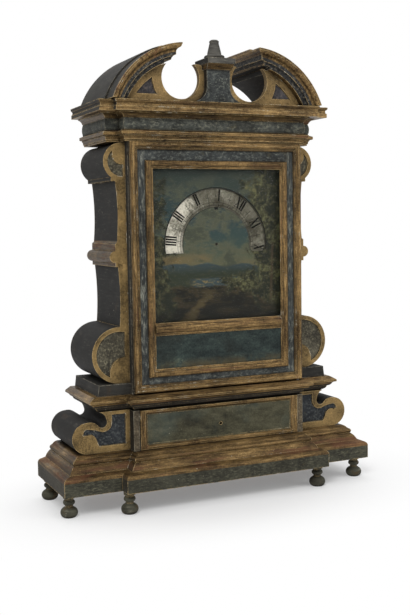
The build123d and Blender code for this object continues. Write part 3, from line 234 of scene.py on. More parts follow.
def gilt_coat(f, bright=1.0, bole=0.0, along=LEVEL):
    """Old gold on brown and red ground, worn in streaks along the moulding."""
    broad = f.noise(9, 4, 0.6, EVEN, (5, 2, 8))
    streaks = f.noise(130, 6, 0.72, along, (3.1, 1.7, 0.4))
    fine = f.noise(380, 3, 0.7, EVEN, (9, 4, 2))
    tone = broad * 0.3 + streaks * 0.45 + fine * 0.25
    gold = f.ramp(tone, (0.39, (40, 31, 20)), (0.46, (78, 61, 38)), (0.52, (112, 90, 57)),
                  (0.58, (144, 116, 74)), (0.66, (206, 178, 126)))
    if bright != 1.0:
        gold = f.mix(gold, (bright, bright, bright), 1.0, "MULTIPLY")
    ground = (f.noise(26, 6, 0.75, along, (5, 5, 1)) + bole).rise(0.55, 0.68)
    colour = f.mix(gold, RED_BOLE, ground * 0.6)
    return colour, 0.5 - fine * 0.2 + ground * 0.2, (1.0 - ground) * 0.4, streaks * 0.6 + fine * 0.4


def ochre_coat(f, tint=(128, 106, 68)):
    """Smooth old gold of the flat faces, cloudy, with a few worn specks."""
    cloud = f.noise(16, 5, 0.65, EVEN, (1, 6, 3))
    fine = f.noise(300, 4, 0.7, EVEN, (4, 2, 2))
    tone = cloud * 0.6 + fine * 0.4
    specks = f.noise(60, 6, 0.75, EVEN, (7, 7, 2)).rise(0.57, 0.68) * 0.7
    colour = f.mix(toned(tint, 0.62), paint(*tint), tone.rise(0.38, 0.54))
    colour = f.mix(colour, toned(tint, 1.3), tone.rise(0.53, 0.66))
    colour = f.mix(colour, paint(58, 44, 28), specks)
    return colour, 0.55, 0.2, fine


def marbled_coat(f, tint=(60, 63, 62), fleck=(146, 146, 132), flecks=1.0, along=EVEN):
    """Blue-grey paint, stippled pale and worn through to brown in places."""
    cloud = f.noise(20, 6, 0.7, warp=0.6)
    stipple = f.noise(210, 5, 0.78, along, (8, 1, 6))
    dabs = f.noise(90, 5, 0.75, along, (2, 7, 3), 1.0)
    base = f.mix(toned(tint, 0.6), toned(tint, 1.12), (cloud * 0.5 + stipple * 0.5).rise(0.38, 0.62))
    dabbed = dabs.rise(0.54, 0.66) * f.noise(14, 3).rise(0.40, 0.62)
    share = (stipple.rise(0.53, 0.64) * 0.6 + dabbed * 0.7).least(1.0)
    worn = f.noise(34, 5, 0.7, EVEN, (4, 4, 9)).rise(0.58, 0.72) * 0.45
    colour = f.mix(base, paint(*fleck), share * flecks)
    colour = f.mix(colour, paint(84, 76, 52), worn)
    return colour, 0.5 + cloud * 0.25, 0.0, stipple * 0.6 + dabs * 0.4


def dark_coat(f, tint, pale_tint=(86, 82, 74)):
    """Charcoal paint, dull, with grey rubbing in streaks and brown showing through."""
    cloud = f.noise(10, 6, 0.65)
    grain = f.noise(110, 5, 0.75, (0.25, 0.25, 1.6))
    base = f.mix(toned(tint, 0.7), toned(tint, 1.1), (cloud * 0.6 + grain * 0.4).rise(0.38, 0.62))
    worn = f.noise(19, 5, 0.7, EVEN, (3, 3, 3)).rise(0.58, 0.72) * 0.5
    colour = f.mix(base, paint(*pale_tint), grain.rise(0.56, 0.72) * 0.4)
    colour = f.mix(colour, paint(66, 54, 42), worn)
    return colour, 0.6 + cloud * 0.2, 0.0, grain * 0.6 + cloud * 0.4


def over(f, first, second, share):
    """Two coats on one piece, the second where share is 1."""
    return (
        f.mix(first[0], second[0], share),
        first[1] + (second[1] - first[1]) * share,
        share * second[2] + (1.0 - share) * first[2],
        share * second[3] + (1.0 - share) * first[3],
    )


def finish_coat(f, coat, chips, corner_shade=0.8, radius=0.0026, pale_tint=PALE_GOLD):
    """Adds worn edges made paler as a painted highlight, chips down to the gesso, dirt, and painted shade
    in the corners, and feeds the shader.
    """
    colour, roughness, metallic, height = coat
    edge = f.edges(radius)
    flake = f.noise(70, 6, 0.75, EVEN, (6, 2, 8))
    # Paler edges: partly wear, partly a painted highlight where the edges catch the light
    worn_and_lit_edge = edge * flake.rise(0.42, 0.50)
    bare = edge * flake.rise(0.55, 0.59) * f.noise(12, 4).rise(0.44, 0.56) * chips
    spots = f.noise(230, 3, 0.6, EVEN, (1, 9, 5)).rise(0.69, 0.73)
    spots = spots * f.noise(17, 3).rise(0.5, 0.62) * chips
    # Painted shade: corners and grooves darkened where ambient occlusion finds them
    corner = f.hollows(0.010) * corner_shade
    grime = f.noise(7, 5, 0.7, EVEN, (2, 5, 5)).rise(0.50, 0.68) * 0.45
    colour = f.mix(colour, DIRT_AND_SHADE, grime)
    colour = f.mix(colour, pale_tint, worn_and_lit_edge * 0.75)
    colour = f.mix(colour, DIRT_AND_SHADE, corner.most(f.hollows(0.003) * 0.85))
    colour = f.mix(colour, GESSO, (bare + spots * 0.7).least(1.0))
    roughness = (roughness + corner * 0.2 + bare * 0.2).least(1.0)
    f.dress(colour, roughness, metallic * (1.0 - worn_and_lit_edge) * (1.0 - corner))
    f.bump(height - worn_and_lit_edge * 0.4 - bare * 1.5, 0.0006)
    return f.material


# The painted bands follow these corners of the nodes' boxes, and heights above or below them in metres

def low(node):
    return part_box(node)[0]


def high(node):
    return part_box(node)[1]


def plinth_paint():
    """Dull green-grey fascia below brown, red and gilt mouldings."""
    f = Finish("plinth_paint")
    fascia_top = low("base_moulding")[2] + 0.0285
    red_top = fascia_top + 0.0175
    fascia = marbled_coat(f, (62, 61, 51), (104, 102, 84), 0.7, (0.5, 0.5, 1.5))
    coat = over(f, gilt_coat(f, 0.84, 0.03), gilt_coat(f, 0.76, 0.09),
                f.z.within(fascia_top, red_top, 0.002))
    coat = over(f, coat, fascia, f.z.rise(fascia_top, fascia_top - 0.0015))
    coat = over(f, coat, dark_coat(f, (56, 50, 44)), abs(f.nx).rise(0.6, 0.9) * 0.55)
    return finish_coat(f, coat, 1.0)


def foot_paint():
    """Grey-green turned feet, much chipped."""
    f = Finish("foot_paint")
    patches = f.noise(60, 4).rise(0.56, 0.66) * 0.5
    coat = over(f, dark_coat(f, (72, 71, 60), (156, 152, 134)), gilt_coat(f, 0.6), patches)
    return finish_coat(f, coat, 1.4, 0.7)


def drawer_paint():
    """Olive and blue-green panel in a gilt frame."""
    f = Finish("drawer_paint")
    sunk_face = low("drawer_front")[1] + 0.0035
    panel_end = high("drawer_front")[0] - 0.0175
    fine = f.noise(70, 6, 0.75, (0.5, 1, 1)) * 0.35 + f.noise(330, 3, 0.7) * 0.2
    tone = f.noise(9, 5, 0.65, (0.7, 1, 2)) * 0.45 + fine
    olive = f.ramp(tone, (0.40, (38, 38, 30)), (0.48, (60, 58, 44)), (0.55, (76, 74, 58)),
                   (0.64, (104, 98, 76)))
    blue = f.noise(6, 4, 0.6, EVEN, (2, 2, 7)).rise(0.46, 0.64)
    panel = (f.mix(olive, paint(56, 66, 62), blue * 0.6), 0.5 + tone * 0.2, 0.0, tone)
    ends = abs(f.x).rise(panel_end - 0.001, panel_end + 0.001)
    coat = over(f, gilt_coat(f, 0.85), gilt_coat(f, 0.85, 0.0, UPRIGHT), ends)
    coat = over(f, coat, panel, f.y.rise(sunk_face - 0.0008, sunk_face + 0.0012))
    return finish_coat(f, coat, 1.0)


def marbled_paint():
    """Marbled fronts, brown beside the drawer, with the returns of the boards dark."""
    f = Finish("marbled_paint")
    lowest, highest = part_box("door_inner_moulding")
    middle, half = (lowest[0] + highest[0]) / 2, (highest[0] - lowest[0]) / 2
    upright = abs(f.x - middle).rise(half, half + 0.001)
    rails = marbled_coat(f, fleck=(118, 120, 110), along=(0.7, 1.2, 1.2))
    marbled = over(f, rails, marbled_coat(f, along=(1.5, 1.5, 0.3)), upright)
    beside_drawer = f.z.rise(PODIUM_TOP, PODIUM_TOP - 0.01)
    marbled = over(f, marbled, marbled_coat(f, (90, 80, 64), (140, 130, 108), 0.8), beside_drawer)
    coat = over(f, dark_coat(f, (44, 40, 34)), marbled, f.fronts())
    return finish_coat(f, coat, 1.0, pale_tint=paint(140, 136, 120))


def scroll_paint():
    """Gilt front edges round sunk mottled fields, with dark flanks."""
    f = Finish("scroll_paint")
    bracket_face, scroll_face = low("bracket_right")[1], low("side_scroll_right")[1]
    upper = f.z.rise(PODIUM_TOP - 0.01, PODIUM_TOP)
    face = bracket_face + (scroll_face - bracket_face) * upper
    proud = (f.y - face).rise(0.0022, 0.0012)
    sunk = marbled_coat(f, (80, 76, 64), (136, 130, 106), 0.9)
    sunk = over(f, sunk, marbled_coat(f, (46, 49, 52), (104, 106, 102), 0.7), 1.0 - upper)
    knuckle = f.z.within(0.4925, 0.5445, 0.001) * 0.85
    flank = over(f, dark_coat(f, (38, 37, 35)), gilt_coat(f, 0.62, 0.06, (2, 0.3, 2)), knuckle)
    coat = over(f, flank, over(f, sunk, ochre_coat(f), proud), f.fronts())
    return finish_coat(f, coat, 0.9)


def dark_paint():
    """Roofs, plinths, carcase sides, finial and cap. The cap has a gilt moulding and paler paint above."""
    f = Finish("dark_paint")
    cap_low = low("pedestal_cap")[2]
    slab_low = cap_low + 0.0108
    cap = f.z.within(cap_low - 0.001, slab_low, 0.0003) * abs(f.x).rise(0.034, 0.032)
    knob = f.z.rise(slab_low, slab_low + 0.0007) * abs(f.x).rise(0.029, 0.028)
    coat = over(f, dark_coat(f, (48, 47, 44)), dark_coat(f, (80, 78, 73), (150, 146, 134)), knob)
    coat = over(f, coat, gilt_coat(f, 0.85), cap)
    return finish_coat(f, coat, 0.8, 0.6, pale_tint=paint(130, 124, 108))


def waist_paint():
    """Brown gilding over a dark bed moulding."""
    f = Finish("waist_paint")
    bed_top = low("waist_cornice")[2] + 0.0152
    coat = over(f, gilt_coat(f, 0.85, 0.03), dark_coat(f, (46, 42, 36)), f.z.rise(bed_top, bed_top - 0.001))
    return finish_coat(f, coat, 1.0)


def gilding():
    """Door mouldings, streaked along each bar, with a dark line in the step."""
    f = Finish("gilding")
    lowest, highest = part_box("door_outer_moulding")
    outer = abs(f.x).rise(highest[0] - 0.0170, highest[0] - 0.0155)
    inner = f.z.within(lowest[2] + 0.031, highest[2] - 0.038, 0.001)
    inner = abs(f.x).within(0.1448, 0.1612, 0.0006) * inner
    coat = over(f, gilt_coat(f, 0.92), gilt_coat(f, 1.0, 0.0, UPRIGHT), outer.most(inner))
    step = f.y.within(lowest[1] + 0.0042, lowest[1] + 0.0062, 0.0005)
    coat = over(f, coat, dark_coat(f, (40, 32, 24)), step * f.noise(40, 3).rise(0.35, 0.6) * 0.7)
    return finish_coat(f, coat, 1.3, 0.85, 0.0020)


def entablature_paint():
    """Gilt and brown mouldings, the bed under the corona partly darkened as painted shade. The returns of
    the cornice are slate-coloured.
    """
    f = Finish("entablature_paint")
    foot, bed, top = low("architrave")[2], low("cornice")[2], high("cornice")[2]
    corona = bed + 0.0115
    brown = gilt_coat(f, 0.55)
    # Brown bed moulding under the corona, partly painted shade
    coat = over(f, gilt_coat(f, 0.92, -0.02), brown, f.z.within(bed - 0.001, corona, 0.001))
    coat = over(f, coat, brown, f.z.rise(top - 0.0075, top - 0.006))
    steps = f.z.within(foot + 0.0105, foot + 0.0125, 0.0005)
    steps = steps.most(f.z.within(foot + 0.0195, foot + 0.024, 0.0008))
    coat = over(f, coat, brown, steps)
    coat = over(f, coat, brown, f.returns() * 0.95)
    coat = over(f, coat, dark_coat(f, (48, 48, 46)), f.returns() * f.z.rise(corona, corona + 0.001) * 0.9)
    return finish_coat(f, coat, 0.9, 0.85)


def frieze_paint():
    """Marbled cushion between the gilt mouldings."""
    f = Finish("frieze_paint")
    coat = marbled_coat(f, (70, 72, 67), (132, 130, 112), 0.8, (0.6, 1, 1))
    return finish_coat(f, coat, 0.8, pale_tint=paint(140, 134, 112))


def tympanum_paint():
    """Gilt board with dark sunk corner panels, and painted shade on its inner face."""
    f = Finish("tympanum_paint")
    sunk = f.fronts() * (f.y - low("tympanum")[1]).rise(0.0012, 0.0022)
    coat = over(f, ochre_coat(f, (122, 101, 66)), marbled_coat(f, (62, 60, 62), (112, 100, 90), 0.7), sunk)
    # Painted shade: the faces turned to the inside of the pediment made near black
    coat = over(f, coat, dark_coat(f, (30, 28, 26)), f.backs())
    return finish_coat(f, coat, 0.9)


def arch_paint():
    """Gilt outer members, a dark mottled band inside them, a dark top, and painted shade on the soffit
    beyond the band.
    """
    f = Finish("arch_paint")
    lowest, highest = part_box("arch_moulding_right")
    crown, tip, front = highest[2], lowest[0], lowest[1]
    centre_x, centre_z, radius = 0.0718, 0.7629, 0.1725
    across, above = abs(f.x) - centre_x, f.z - centre_z
    on_arch = radius - (across * across + above * above).root()
    returned = ((f.y - front) - (abs(f.x) - tip)).rise(0.0, 0.001)
    drop = on_arch + ((crown - f.z) - on_arch) * returned
    even = (1.2, 1.2, 1.2)
    coat = over(f, gilt_coat(f, 0.92, 0.0, even), gilt_coat(f, 0.6, 0.04, even), drop.rise(0.0040, 0.0030))
    coat = over(f, coat, gilt_coat(f, 0.5, 0.0, even), drop.within(0.0105, 0.0125, 0.0005))
    mottled = marbled_coat(f, (46, 47, 47), (140, 132, 116), 0.8)
    coat = over(f, coat, mottled, drop.within(0.0163, 0.0322, 0.0006))
    top = drop.rise(0.0006, 0.0) * (f.y - front).rise(0.004, 0.007)
    # Dark paint on the top, and painted shade on the soffit beyond the band
    coat = over(f, coat, dark_coat(f, (48, 47, 44)), top.most(drop.rise(0.0330, 0.0345)))
    return finish_coat(f, coat, 1.2, 0.85)


def panel_paint():
    """Blue-green panel below the glass, brown towards its foot."""
    f = Finish("panel_paint")
    lowest = low("door_panel")[2]
    fine = f.noise(90, 6, 0.75, (0.5, 1, 1)) * 0.35 + f.noise(340, 3, 0.7) * 0.25
    tone = f.noise(11, 6, 0.7, (0.8, 1, 2.5)) * 0.4 + fine
    green = f.ramp(tone, (0.40, (22, 28, 28)), (0.48, (38, 46, 44)), (0.55, (50, 60, 56)),
                   (0.65, (84, 92, 78)))
    foot = f.z.rise(lowest + 0.026, lowest + 0.004) * f.noise(25, 5, 0.7).rise(0.35, 0.6)
    coat = (f.mix(green, paint(78, 68, 46), foot * 0.7), 0.45 + tone * 0.25, 0.0, tone)
    return finish_coat(f, coat, 0.4)


def inner_wood():
    """Old bare softwood with its grain from side to side, darker in corners as painted shade and in patches
    of dirt.
    """
    f = Finish("inner_wood")
    rings = f.noise(9, 4, 0.6, (0.5, 6, 0.5), warp=0.8)
    fibre = f.noise(220, 4, 0.7, (0.04, 1, 1))
    wood = f.ramp(rings * 0.7 + fibre * 0.3, (0.34, (78, 56, 38)), (0.48, (112, 84, 58)),
                  (0.62, (142, 110, 78)))
    # Painted shade in the corners, with patches of dirt
    grime = (f.hollows(0.03) * 0.7 + f.noise(6, 4).rise(0.5, 0.7) * 0.3).least(1.0)
    f.dress(f.mix(wood, paint(46, 36, 27), grime), 0.72 + fibre * 0.15)
    f.bump(fibre * 0.6 + rings * 0.4, 0.0005)
    return f.material


def ring_centre():
    lowest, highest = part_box("hour_ring")
    return [(a + b) / 2 for a, b in zip(lowest, highest)]


def round_the_centre(f):
    """Height above the ring's centre and distance from it."""
    above = f.z - ring_centre()[2]
    return above, (f.x * f.x + above * above).root()


def painted_sky(f, u, v, strokes):
    """Evening sky: warm above the hills, then green-blue, with heaps of cloud."""
    cloud = f.noise(15, 7, 0.68, (0.8, 1, 1.5), (1.3, 0, 2.1), 0.9)
    drift = f.noise(5, 4, 0.6, (0.8, 1, 1.3), (6.2, 0, 4.4), 0.5)
    puff = f.noise(19, 7, 0.62, (1, 1, 1.3), (3.3, 0, 7.1), 0.2)
    heap = puff * 0.5 + drift * 0.3 + strokes * 0.2
    fading = v.rise(1.02, 0.7)
    glow = v.within(0.385, 0.43, 0.035) * (drift + (u - 0.5) * 0.2).rise(0.56, 0.42)
    sky = f.ramp(v + (cloud - 0.5) * 0.16, (0.33, (120, 102, 66)), (0.40, (92, 94, 72)),
                 (0.50, (60, 76, 70)), (0.66, (44, 64, 68)), (0.86, (52, 62, 56)))
    sky = f.mix(sky, paint(98, 96, 74), heap.rise(0.47, 0.555) * fading * 0.85)
    sky = f.mix(sky, paint(56, 64, 54), heap.rise(0.53, 0.585) * fading * 0.7)
    sky = f.mix(sky, paint(134, 108, 66), glow * 0.8)
    sky = f.mix(sky, paint(34, 42, 36), (cloud * 0.5 + drift * 0.5).rise(0.50, 0.40) * 0.45)
    return f.mix(sky, (0.80, 0.82, 0.80), 1.0, "MULTIPLY")


def painted_land(f, colour, u, v, strokes):
    """Far hills, a lake, and near ground with a path."""
    ridge = 0.375 + (f.noise(7, 4, 0.55, (1, 0.01, 0.01), (2, 0, 0)) - 0.5) * 0.16
    hill = f.mix(paint(52, 66, 70), paint(42, 48, 36), v.rise(0.40, 0.31))
    hill = f.mix(hill, paint(74, 74, 50), strokes.rise(0.52, 0.66) * 0.5)
    colour = f.mix(colour, hill, (v - ridge).rise(0.006, -0.006))
    lake = v.within(0.235, 0.292, 0.006) * (u + (strokes - 0.5) * 0.06).rise(0.28, 0.36)
    lake = lake * u.rise(0.80, 0.70)
    water = f.mix(paint(52, 66, 68), paint(120, 106, 68), strokes.rise(0.48, 0.62))
    colour = f.mix(colour, water, lake)
    shore = 0.225 + (f.noise(16, 5, 0.65, (1, 0.01, 0.01), (7, 0, 0)) - 0.3) * 0.09
    patch = f.noise(34, 6, 0.75, (0.5, 1, 1.5), (3, 0, 6))
    earth = f.mix(paint(24, 23, 18), paint(64, 56, 36), patch.rise(0.44, 0.62) * v.rise(-0.05, 0.22))
    path = abs(u - 0.46 - (v - 0.2) * 1.1 - (patch - 0.5) * 0.25).rise(0.06, 0.01) * v.rise(0.22, 0.14)
    return f.mix(colour, f.mix(earth, paint(92, 80, 52), path * 0.6), (v - shore).rise(0.010, -0.010))


def painted_trees(f, colour, u, v, strokes, leaf):
    """Trees at both sides and a bush between, with ragged edges."""
    clump = f.noise(24, 6, 0.75, EVEN, (4, 0, 9))
    mass = f.noise(13, 7, 0.72, EVEN, (9, 0, 3), 0.4)
    ragged = (mass - 0.5) * 1.1 + (clump - 0.5) * 0.5 + (leaf - 0.5) * 0.25

    def crown(at_u, at_v, narrow, low_spread, inside, outside):
        across, above = u - at_u, v - at_v
        reach = (across * across * narrow + above * above * low_spread).root() + ragged
        return reach.rise(outside, inside)

    wood = crown(1.02, 0.66, 3.2, 0.8, 0.49, 0.54)
    wood = wood.most(crown(-0.02, 0.42, 5.0, 0.6, 0.38, 0.42))
    wood = wood.most(crown(0.70, 0.27, 2.4, 9.0, 0.20, 0.24))
    foliage = f.mix(paint(32, 34, 25), paint(100, 98, 64), (leaf * 0.6 + clump * 0.4).rise(0.46, 0.62))
    trunk = abs(u - 0.91 - (v - 0.2) * 0.05 - (strokes - 0.5) * 0.02).rise(0.012, 0.006)
    colour = f.mix(colour, foliage, wood)
    return f.mix(colour, paint(74, 60, 42), trunk * v.within(0.14, 0.50, 0.02) * 0.6)


def painted_plate():
    """Oil landscape of no particular place, with painted shadow along the opening's edges, the index, and
    painted shade in the centre hole.
    """
    f = Finish("painted_plate")
    lowest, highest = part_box("dial_plate")
    u = (f.x - lowest[0]) / (highest[0] - lowest[0])
    v = (f.z - lowest[2]) / (highest[2] - lowest[2])
    strokes = f.noise(150, 5, 0.75, (0.5, 1, 1.6), warp=0.5)
    leaf = f.noise(110, 6, 0.8, (1, 1, 1.2), (2, 2, 2))
    colour = painted_sky(f, u, v, strokes)
    colour = painted_land(f, colour, u, v, strokes)
    colour = painted_trees(f, colour, u, v, strokes, leaf)
    rim = abs(u - 0.5).rise(0.34, 0.50).most(abs(v - 0.5).rise(0.36, 0.50))
    colour = f.mix(colour, paint(22, 24, 19), rim * 0.45)
    colour = f.mix(colour, paint(96, 88, 62), f.noise(420, 2, 0.6).rise(0.66, 0.72) * 0.35)
    above, reach = round_the_centre(f)
    # Painted shadow: dark lines along the opening's outer and inner edges, where the ring lies behind the
    # plate
    outer_edge_shadow, inner_edge_shadow = reach.within(0.1150, 0.1182, 0.0004), reach.within(0.0757, 0.0775, 0.0003)
    aperture_shadow = outer_edge_shadow.most(inner_edge_shadow * 0.6) * above.rise(-0.017, -0.012)
    index = reach.within(0.0715, 0.0775, 0.0003) * abs(f.x).rise(0.0050, 0.0038) * above.rise(0.0, 0.01)
    colour = f.mix(colour, paint(14, 13, 11), (aperture_shadow * 0.9).most(index))
    # Painted shade: the centre hole darkened
    hole = reach.rise(0.0034, 0.0026)
    f.dress(f.mix(colour, paint(34, 30, 22), hole), 0.40 + strokes * 0.2, shine=0.2)
    f.bump(strokes * 0.7 + leaf * 0.3, 0.0003)
    return f.material


def silvered_ring():
    """Silvered metal gone grey, with a painted highlight at the left, fine turning marks and the engraved
    track.
    """
    f = Finish("silvered_ring")
    reach = round_the_centre(f)[1]
    turning = (reach * 9000.0).sine() * 0.5 + 0.5
    cloud = f.noise(22, 6, 0.7, warp=0.5)
    # Painted highlight: the ring made brighter towards the left
    left_highlight = f.x.rise(-0.045, -0.095)
    silver = f.ramp(cloud * 0.8 + f.noise(260, 4, 0.7) * 0.2 + left_highlight * 0.16, (0.38, (64, 61, 50)),
                    (0.50, (98, 95, 82)), (0.58, (124, 121, 107)), (0.70, (212, 207, 190)))
    stained = f.noise(70, 6, 0.75).rise(0.56, 0.70) * 0.55
    for at in RING_LINES:
        stained = stained.most(reach.within(at - 0.0004, at + 0.0004, 0.00012) * 0.85)
    f.dress(f.mix(silver, paint(34, 30, 24), stained), 0.40 + cloud * 0.25, 0.35)
    f.bump(turning, 0.00003)
    return f.material


def movement_brass():
    """Brushed brass, with painted shade in its corners and on the arbor's end that shows through the
    painted plate.
    """
    f = Finish("movement_brass")
    cloud = f.noise(16, 5, 0.6)
    brushed = f.noise(400, 3, 0.6, (1, 1, 0.05))
    colour = f.mix(paint(150, 118, 66), paint(196, 162, 98), cloud.rise(0.38, 0.62))
    # Painted shade in the corners
    colour = f.mix(colour, paint(88, 66, 40), f.hollows(0.006) * 0.7)
    # Painted shade: the arbor's end darkened where it shows through the centre hole
    arbor_end_shade = f.y.rise(-0.0485, -0.0495)
    f.dress(f.mix(colour, paint(26, 21, 15), arbor_end_shade), 0.28 + brushed * 0.2, 0.95 - arbor_end_shade * 0.9)
    f.bump(brushed, 0.00003)
    return f.material


def movement_steel():
    """Brushed steel."""
    f = Finish("movement_steel")
    cloud = f.noise(40, 5, 0.6)
    brushed = f.noise(500, 3, 0.6, (1, 0.05, 1))
    f.dress(f.mix(paint(92, 92, 94), paint(148, 148, 150), cloud), 0.28 + brushed * 0.15, 0.95)
    f.bump(brushed, 0.00002)
    return f.material


def door_glass():
    """Old clear glass, faintly wavy."""
    f = Finish("door_glass")
    wave = f.noise(9, 2, 0.4)
    f.dress(f.mix(paint(24, 28, 26), paint(36, 40, 38), wave), 0.05 + wave * 0.03)
    f.feed(f.shader.inputs["Alpha"], 0.05)
    f.bump(wave, 0.0004)
    return f.material


finishes = [
    plinth_paint, foot_paint, drawer_paint, marbled_paint, scroll_paint, dark_paint, waist_paint, gilding,
    entablature_paint, frieze_paint, tympanum_paint, arch_paint, panel_paint, inner_wood, painted_plate,
    silvered_ring, movement_brass, movement_steel, door_glass,
]
made = {make.__name__: make() for make in finishes}
slot_of = {part["node"]: part["material_slot"] for part in frame["record"]["subparts"]}
for name, node in frame["nodes"].items():
    node.data.materials.clear()
    node.data.materials.append(made[slot_of[name]])


def linked(name, data):
    """A new object of the scene."""
    placed = bpy.data.objects.new(name, data)
    bpy.context.collection.objects.link(placed)
    return placed


def shaped(name, mesh):
    """The object that a bmesh describes."""
    data = bpy.data.meshes.new(name)
    mesh.to_mesh(data)
    mesh.free()
    return linked(name, data)


# Numerals and quarter marks, flat on the hour ring

def ink():
    f = Finish("numeral_ink")
    wear = f.noise(160, 4, 0.7)
    f.dress(f.mix(paint(10, 9, 8), paint(40, 36, 30), wear.rise(0.58, 0.76)), 0.5 + wear * 0.2)
    return f.material


def bar(mesh, foot, head, foot_width, head_width, thick):
    """Flat stroke from foot to head in the plane of the dial, as x and z."""
    foot, head = Vector(foot), Vector(head)
    side = (head - foot).orthogonal().normalized()
    corners = [foot - side * foot_width / 2, foot + side * foot_width / 2,
               head + side * head_width / 2, head - side * head_width / 2]
    verts = [mesh.verts.new((corner.x, 0.0, corner.y)) for corner in corners]
    face = mesh.faces.new(verts)
    grown = bmesh.ops.extrude_face_region(mesh, geom=[face])
    moved = [item for item in grown["geom"] if isinstance(item, bmesh.types.BMVert)]
    bmesh.ops.translate(mesh, verts=moved, vec=(0, -thick, 0))


# Strokes as foot, head (across and up) and weight, with each letter's share of the pitch
STROKES = {
    "I": [((0, 0), (0, 1), 1)],
    "V": [((0, 0), (-0.30, 1), 1), ((0, 0), (0.30, 1), 0.45)],
    "X": [((0.30, 0), (-0.30, 1), 1), ((-0.30, 0), (0.30, 1), 0.45)],
}
WIDTH = {"I": 0.38, "V": 0.92, "X": 0.94}
HOURS = ["XII", "I", "II", "III", "IIII", "V", "VI", "VII", "VIII", "IX", "X", "XI"]
STROKE, FINE, INK = 0.0035, 0.0008, 0.00006
ONE_O_CLOCK = 85


def directions(degrees):
    """Outwards and sideways at this angle, seen from the front."""
    turn = math.radians(degrees)
    return Vector((math.cos(turn), math.sin(turn))), Vector((math.sin(turn), -math.cos(turn)))


def numerals():
    """Twelve hours round the ring, rising against the clock as seen from the front, with their marks."""
    mesh = bmesh.new()
    inner, outer = NUMERALS
    height = outer - inner
    pitch = height * 0.56

    def spoke(degrees, start, end):
        out = directions(degrees)[0]
        bar(mesh, out * start, out * end, FINE, FINE, INK)

    def crossbar(degrees, at, reach):
        out, along = directions(degrees)
        bar(mesh, out * at - along * reach, out * at + along * reach, FINE, FINE, INK)

    for index, hour in enumerate(HOURS):
        degrees = ONE_O_CLOCK + 30 * (index - 1)
        out, along = directions(degrees)
        total = sum(WIDTH[letter] for letter in hour)
        at = -total / 2
        for letter in hour:
            middle = at + WIDTH[letter] / 2
            for foot, head, weight in STROKES[letter]:
                ends = [out * (inner + height * up) + along * (middle + across) * pitch
                        for across, up in (foot, head)]
                bar(mesh, *ends, STROKE * 0.9 * weight, STROKE * 1.1 * weight, INK)
            at += WIDTH[letter]
        for end in (inner + 0.0004, outer - 0.0004):
            crossbar(degrees, end, total * pitch / 2 - 0.0004)
        spoke(degrees + 15, inner, inner + 0.016)
        crossbar(degrees + 15, inner + 0.0075, 0.0042)
        for quarter in range(4):
            spoke(degrees + 7.5 * quarter, *QUARTER_MARKS)
    centre = ring_centre()
    bmesh.ops.translate(mesh, verts=mesh.verts[:], vec=(centre[0], low("hour_ring")[1], centre[2]))
    bmesh.ops.recalc_face_normals(mesh, faces=mesh.faces[:])
    return shaped("hour_numerals", mesh)


figures = numerals()
figures.data.materials.append(ink())
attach(figures, "hour_ring")


# Floor, backdrop, light and camera

def backdrop_rays(tree):
    """1 for the rays that see the backdrop: the camera's, those through glass and those off metal."""
    rays = tree.nodes.new("ShaderNodeLightPath").outputs
    total = rays["Is Camera Ray"]
    for kind in ("Is Transmission Ray", "Is Glossy Ray"):
        add = tree.nodes.new("ShaderNodeMath")
        add.operation, add.use_clamp = "ADD", True
        tree.links.new(total, add.inputs[0])
        tree.links.new(rays[kind], add.inputs[1])
        total = add.outputs[0]
    return total


def floor_finish():
    """Pale floor: white backdrop away from the object, and a place for its shadow near it."""
    f = Finish("studio_floor")
    reach = (f.x * f.x * 0.36 + f.y * f.y).root()
    f.dress((0.86, 0.86, 0.86), 0.9)
    glow = f.node("ShaderNodeEmission", None, {0: (1.0, 1.0, 1.0), 1: 1.0})
    far = (reach.rise(0.15, 0.38) * 0.8 + 0.2) * Value(f, backdrop_rays(f.tree))
    mixed = f.node("ShaderNodeMixShader", None, {0: far, 1: f.shader.outputs[0], 2: glow.outputs[0]})
    f.tree.links.new(mixed.outputs[0], f.tree.nodes["Material Output"].inputs["Surface"])
    return f.material


def studio_floor():
    mesh = bmesh.new()
    bmesh.ops.create_circle(mesh, cap_ends=True, segments=96, radius=9.0)
    floor = shaped("studio_floor", mesh)
    floor.data.materials.append(floor_finish())


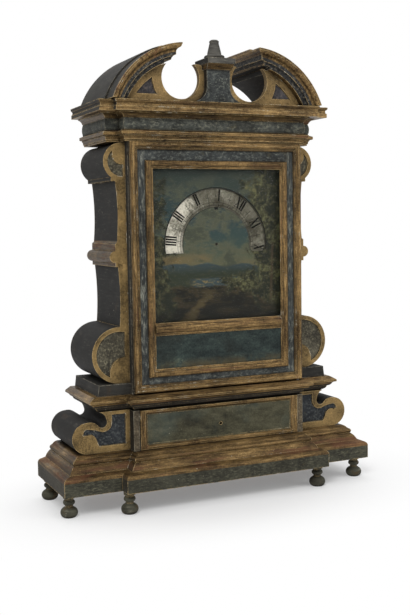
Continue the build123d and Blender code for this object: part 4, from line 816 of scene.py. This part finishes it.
def studio_world():
    """Soft light all round, and plain white where the backdrop is seen."""
    world = bpy.data.worlds.new("studio_world")
    bpy.context.scene.world = world
    world.use_nodes = True
    tree = world.node_tree
    soft, white = tree.nodes["Background"], tree.nodes.new("ShaderNodeBackground")
    for background, strength in ((soft, 0.55), (white, 1.0)):
        background.inputs[0].default_value = (1, 1, 1, 1)
        background.inputs[1].default_value = strength
    choose = tree.nodes.new("ShaderNodeMixShader")
    for socket, source in zip(choose.inputs, (backdrop_rays(tree), soft.outputs[0], white.outputs[0])):
        tree.links.new(source, socket)
    tree.links.new(choose.outputs[0], tree.nodes["World Output"].inputs["Surface"])


def lamp(name, place, target, size, power):
    light = bpy.data.lights.new(name, "AREA")
    light.shape, light.size, light.energy = "DISK", size, power
    placed = linked(name, light)
    placed.location = place
    placed.rotation_euler = (Vector(target) - Vector(place)).to_track_quat("-Z", "Y").to_euler()


studio_floor()
studio_world()
lamp("key_lamp", (-1.5, -2.2, 2.6), (0, 0, 0.45), 1.4, 66)
lamp("fill_lamp", (1.8, -2.2, 1.4), (0, 0, 0.5), 1.8, 16)
lamp("top_lamp", (0.3, 0.6, 3.2), (0, 0, 0.5), 2.0, 26)


# The camera fitted to the photograph: place in metres, yaw, pitch and roll in degrees, then pixels
CAMERA_PLACE = (-0.85714, -1.86418, 0.58042)
CAMERA_ANGLES = (24.54, -5.11, -0.93)
FOCAL_LENGTH, PHOTO_HEIGHT = 959.14, 615


def camera():
    """The photograph's own viewpoint: from the left, a little above the middle of the clock."""
    yaw, pitch, roll = (math.radians(angle) for angle in CAMERA_ANGLES)
    ahead = Vector((math.sin(yaw) * math.cos(pitch), math.cos(yaw) * math.cos(pitch), math.sin(pitch)))
    right = Vector((math.cos(yaw), -math.sin(yaw), 0))
    up = right.cross(ahead)
    side = math.cos(roll) * right + math.sin(roll) * up
    top = -math.sin(roll) * right + math.cos(roll) * up
    view = bpy.data.cameras.new("photo_camera")
    view.sensor_fit = "VERTICAL"
    view.sensor_height = 36.0
    view.lens = view.sensor_height * FOCAL_LENGTH / PHOTO_HEIGHT
    view.clip_start = 0.05
    placed = linked("photo_camera", view)
    turned = Matrix((side, top, -ahead)).transposed().to_4x4()
    placed.matrix_world = Matrix.Translation(CAMERA_PLACE) @ turned
    bpy.context.scene.camera = placed


camera()
bpy.context.scene.view_settings.view_transform = "Standard"
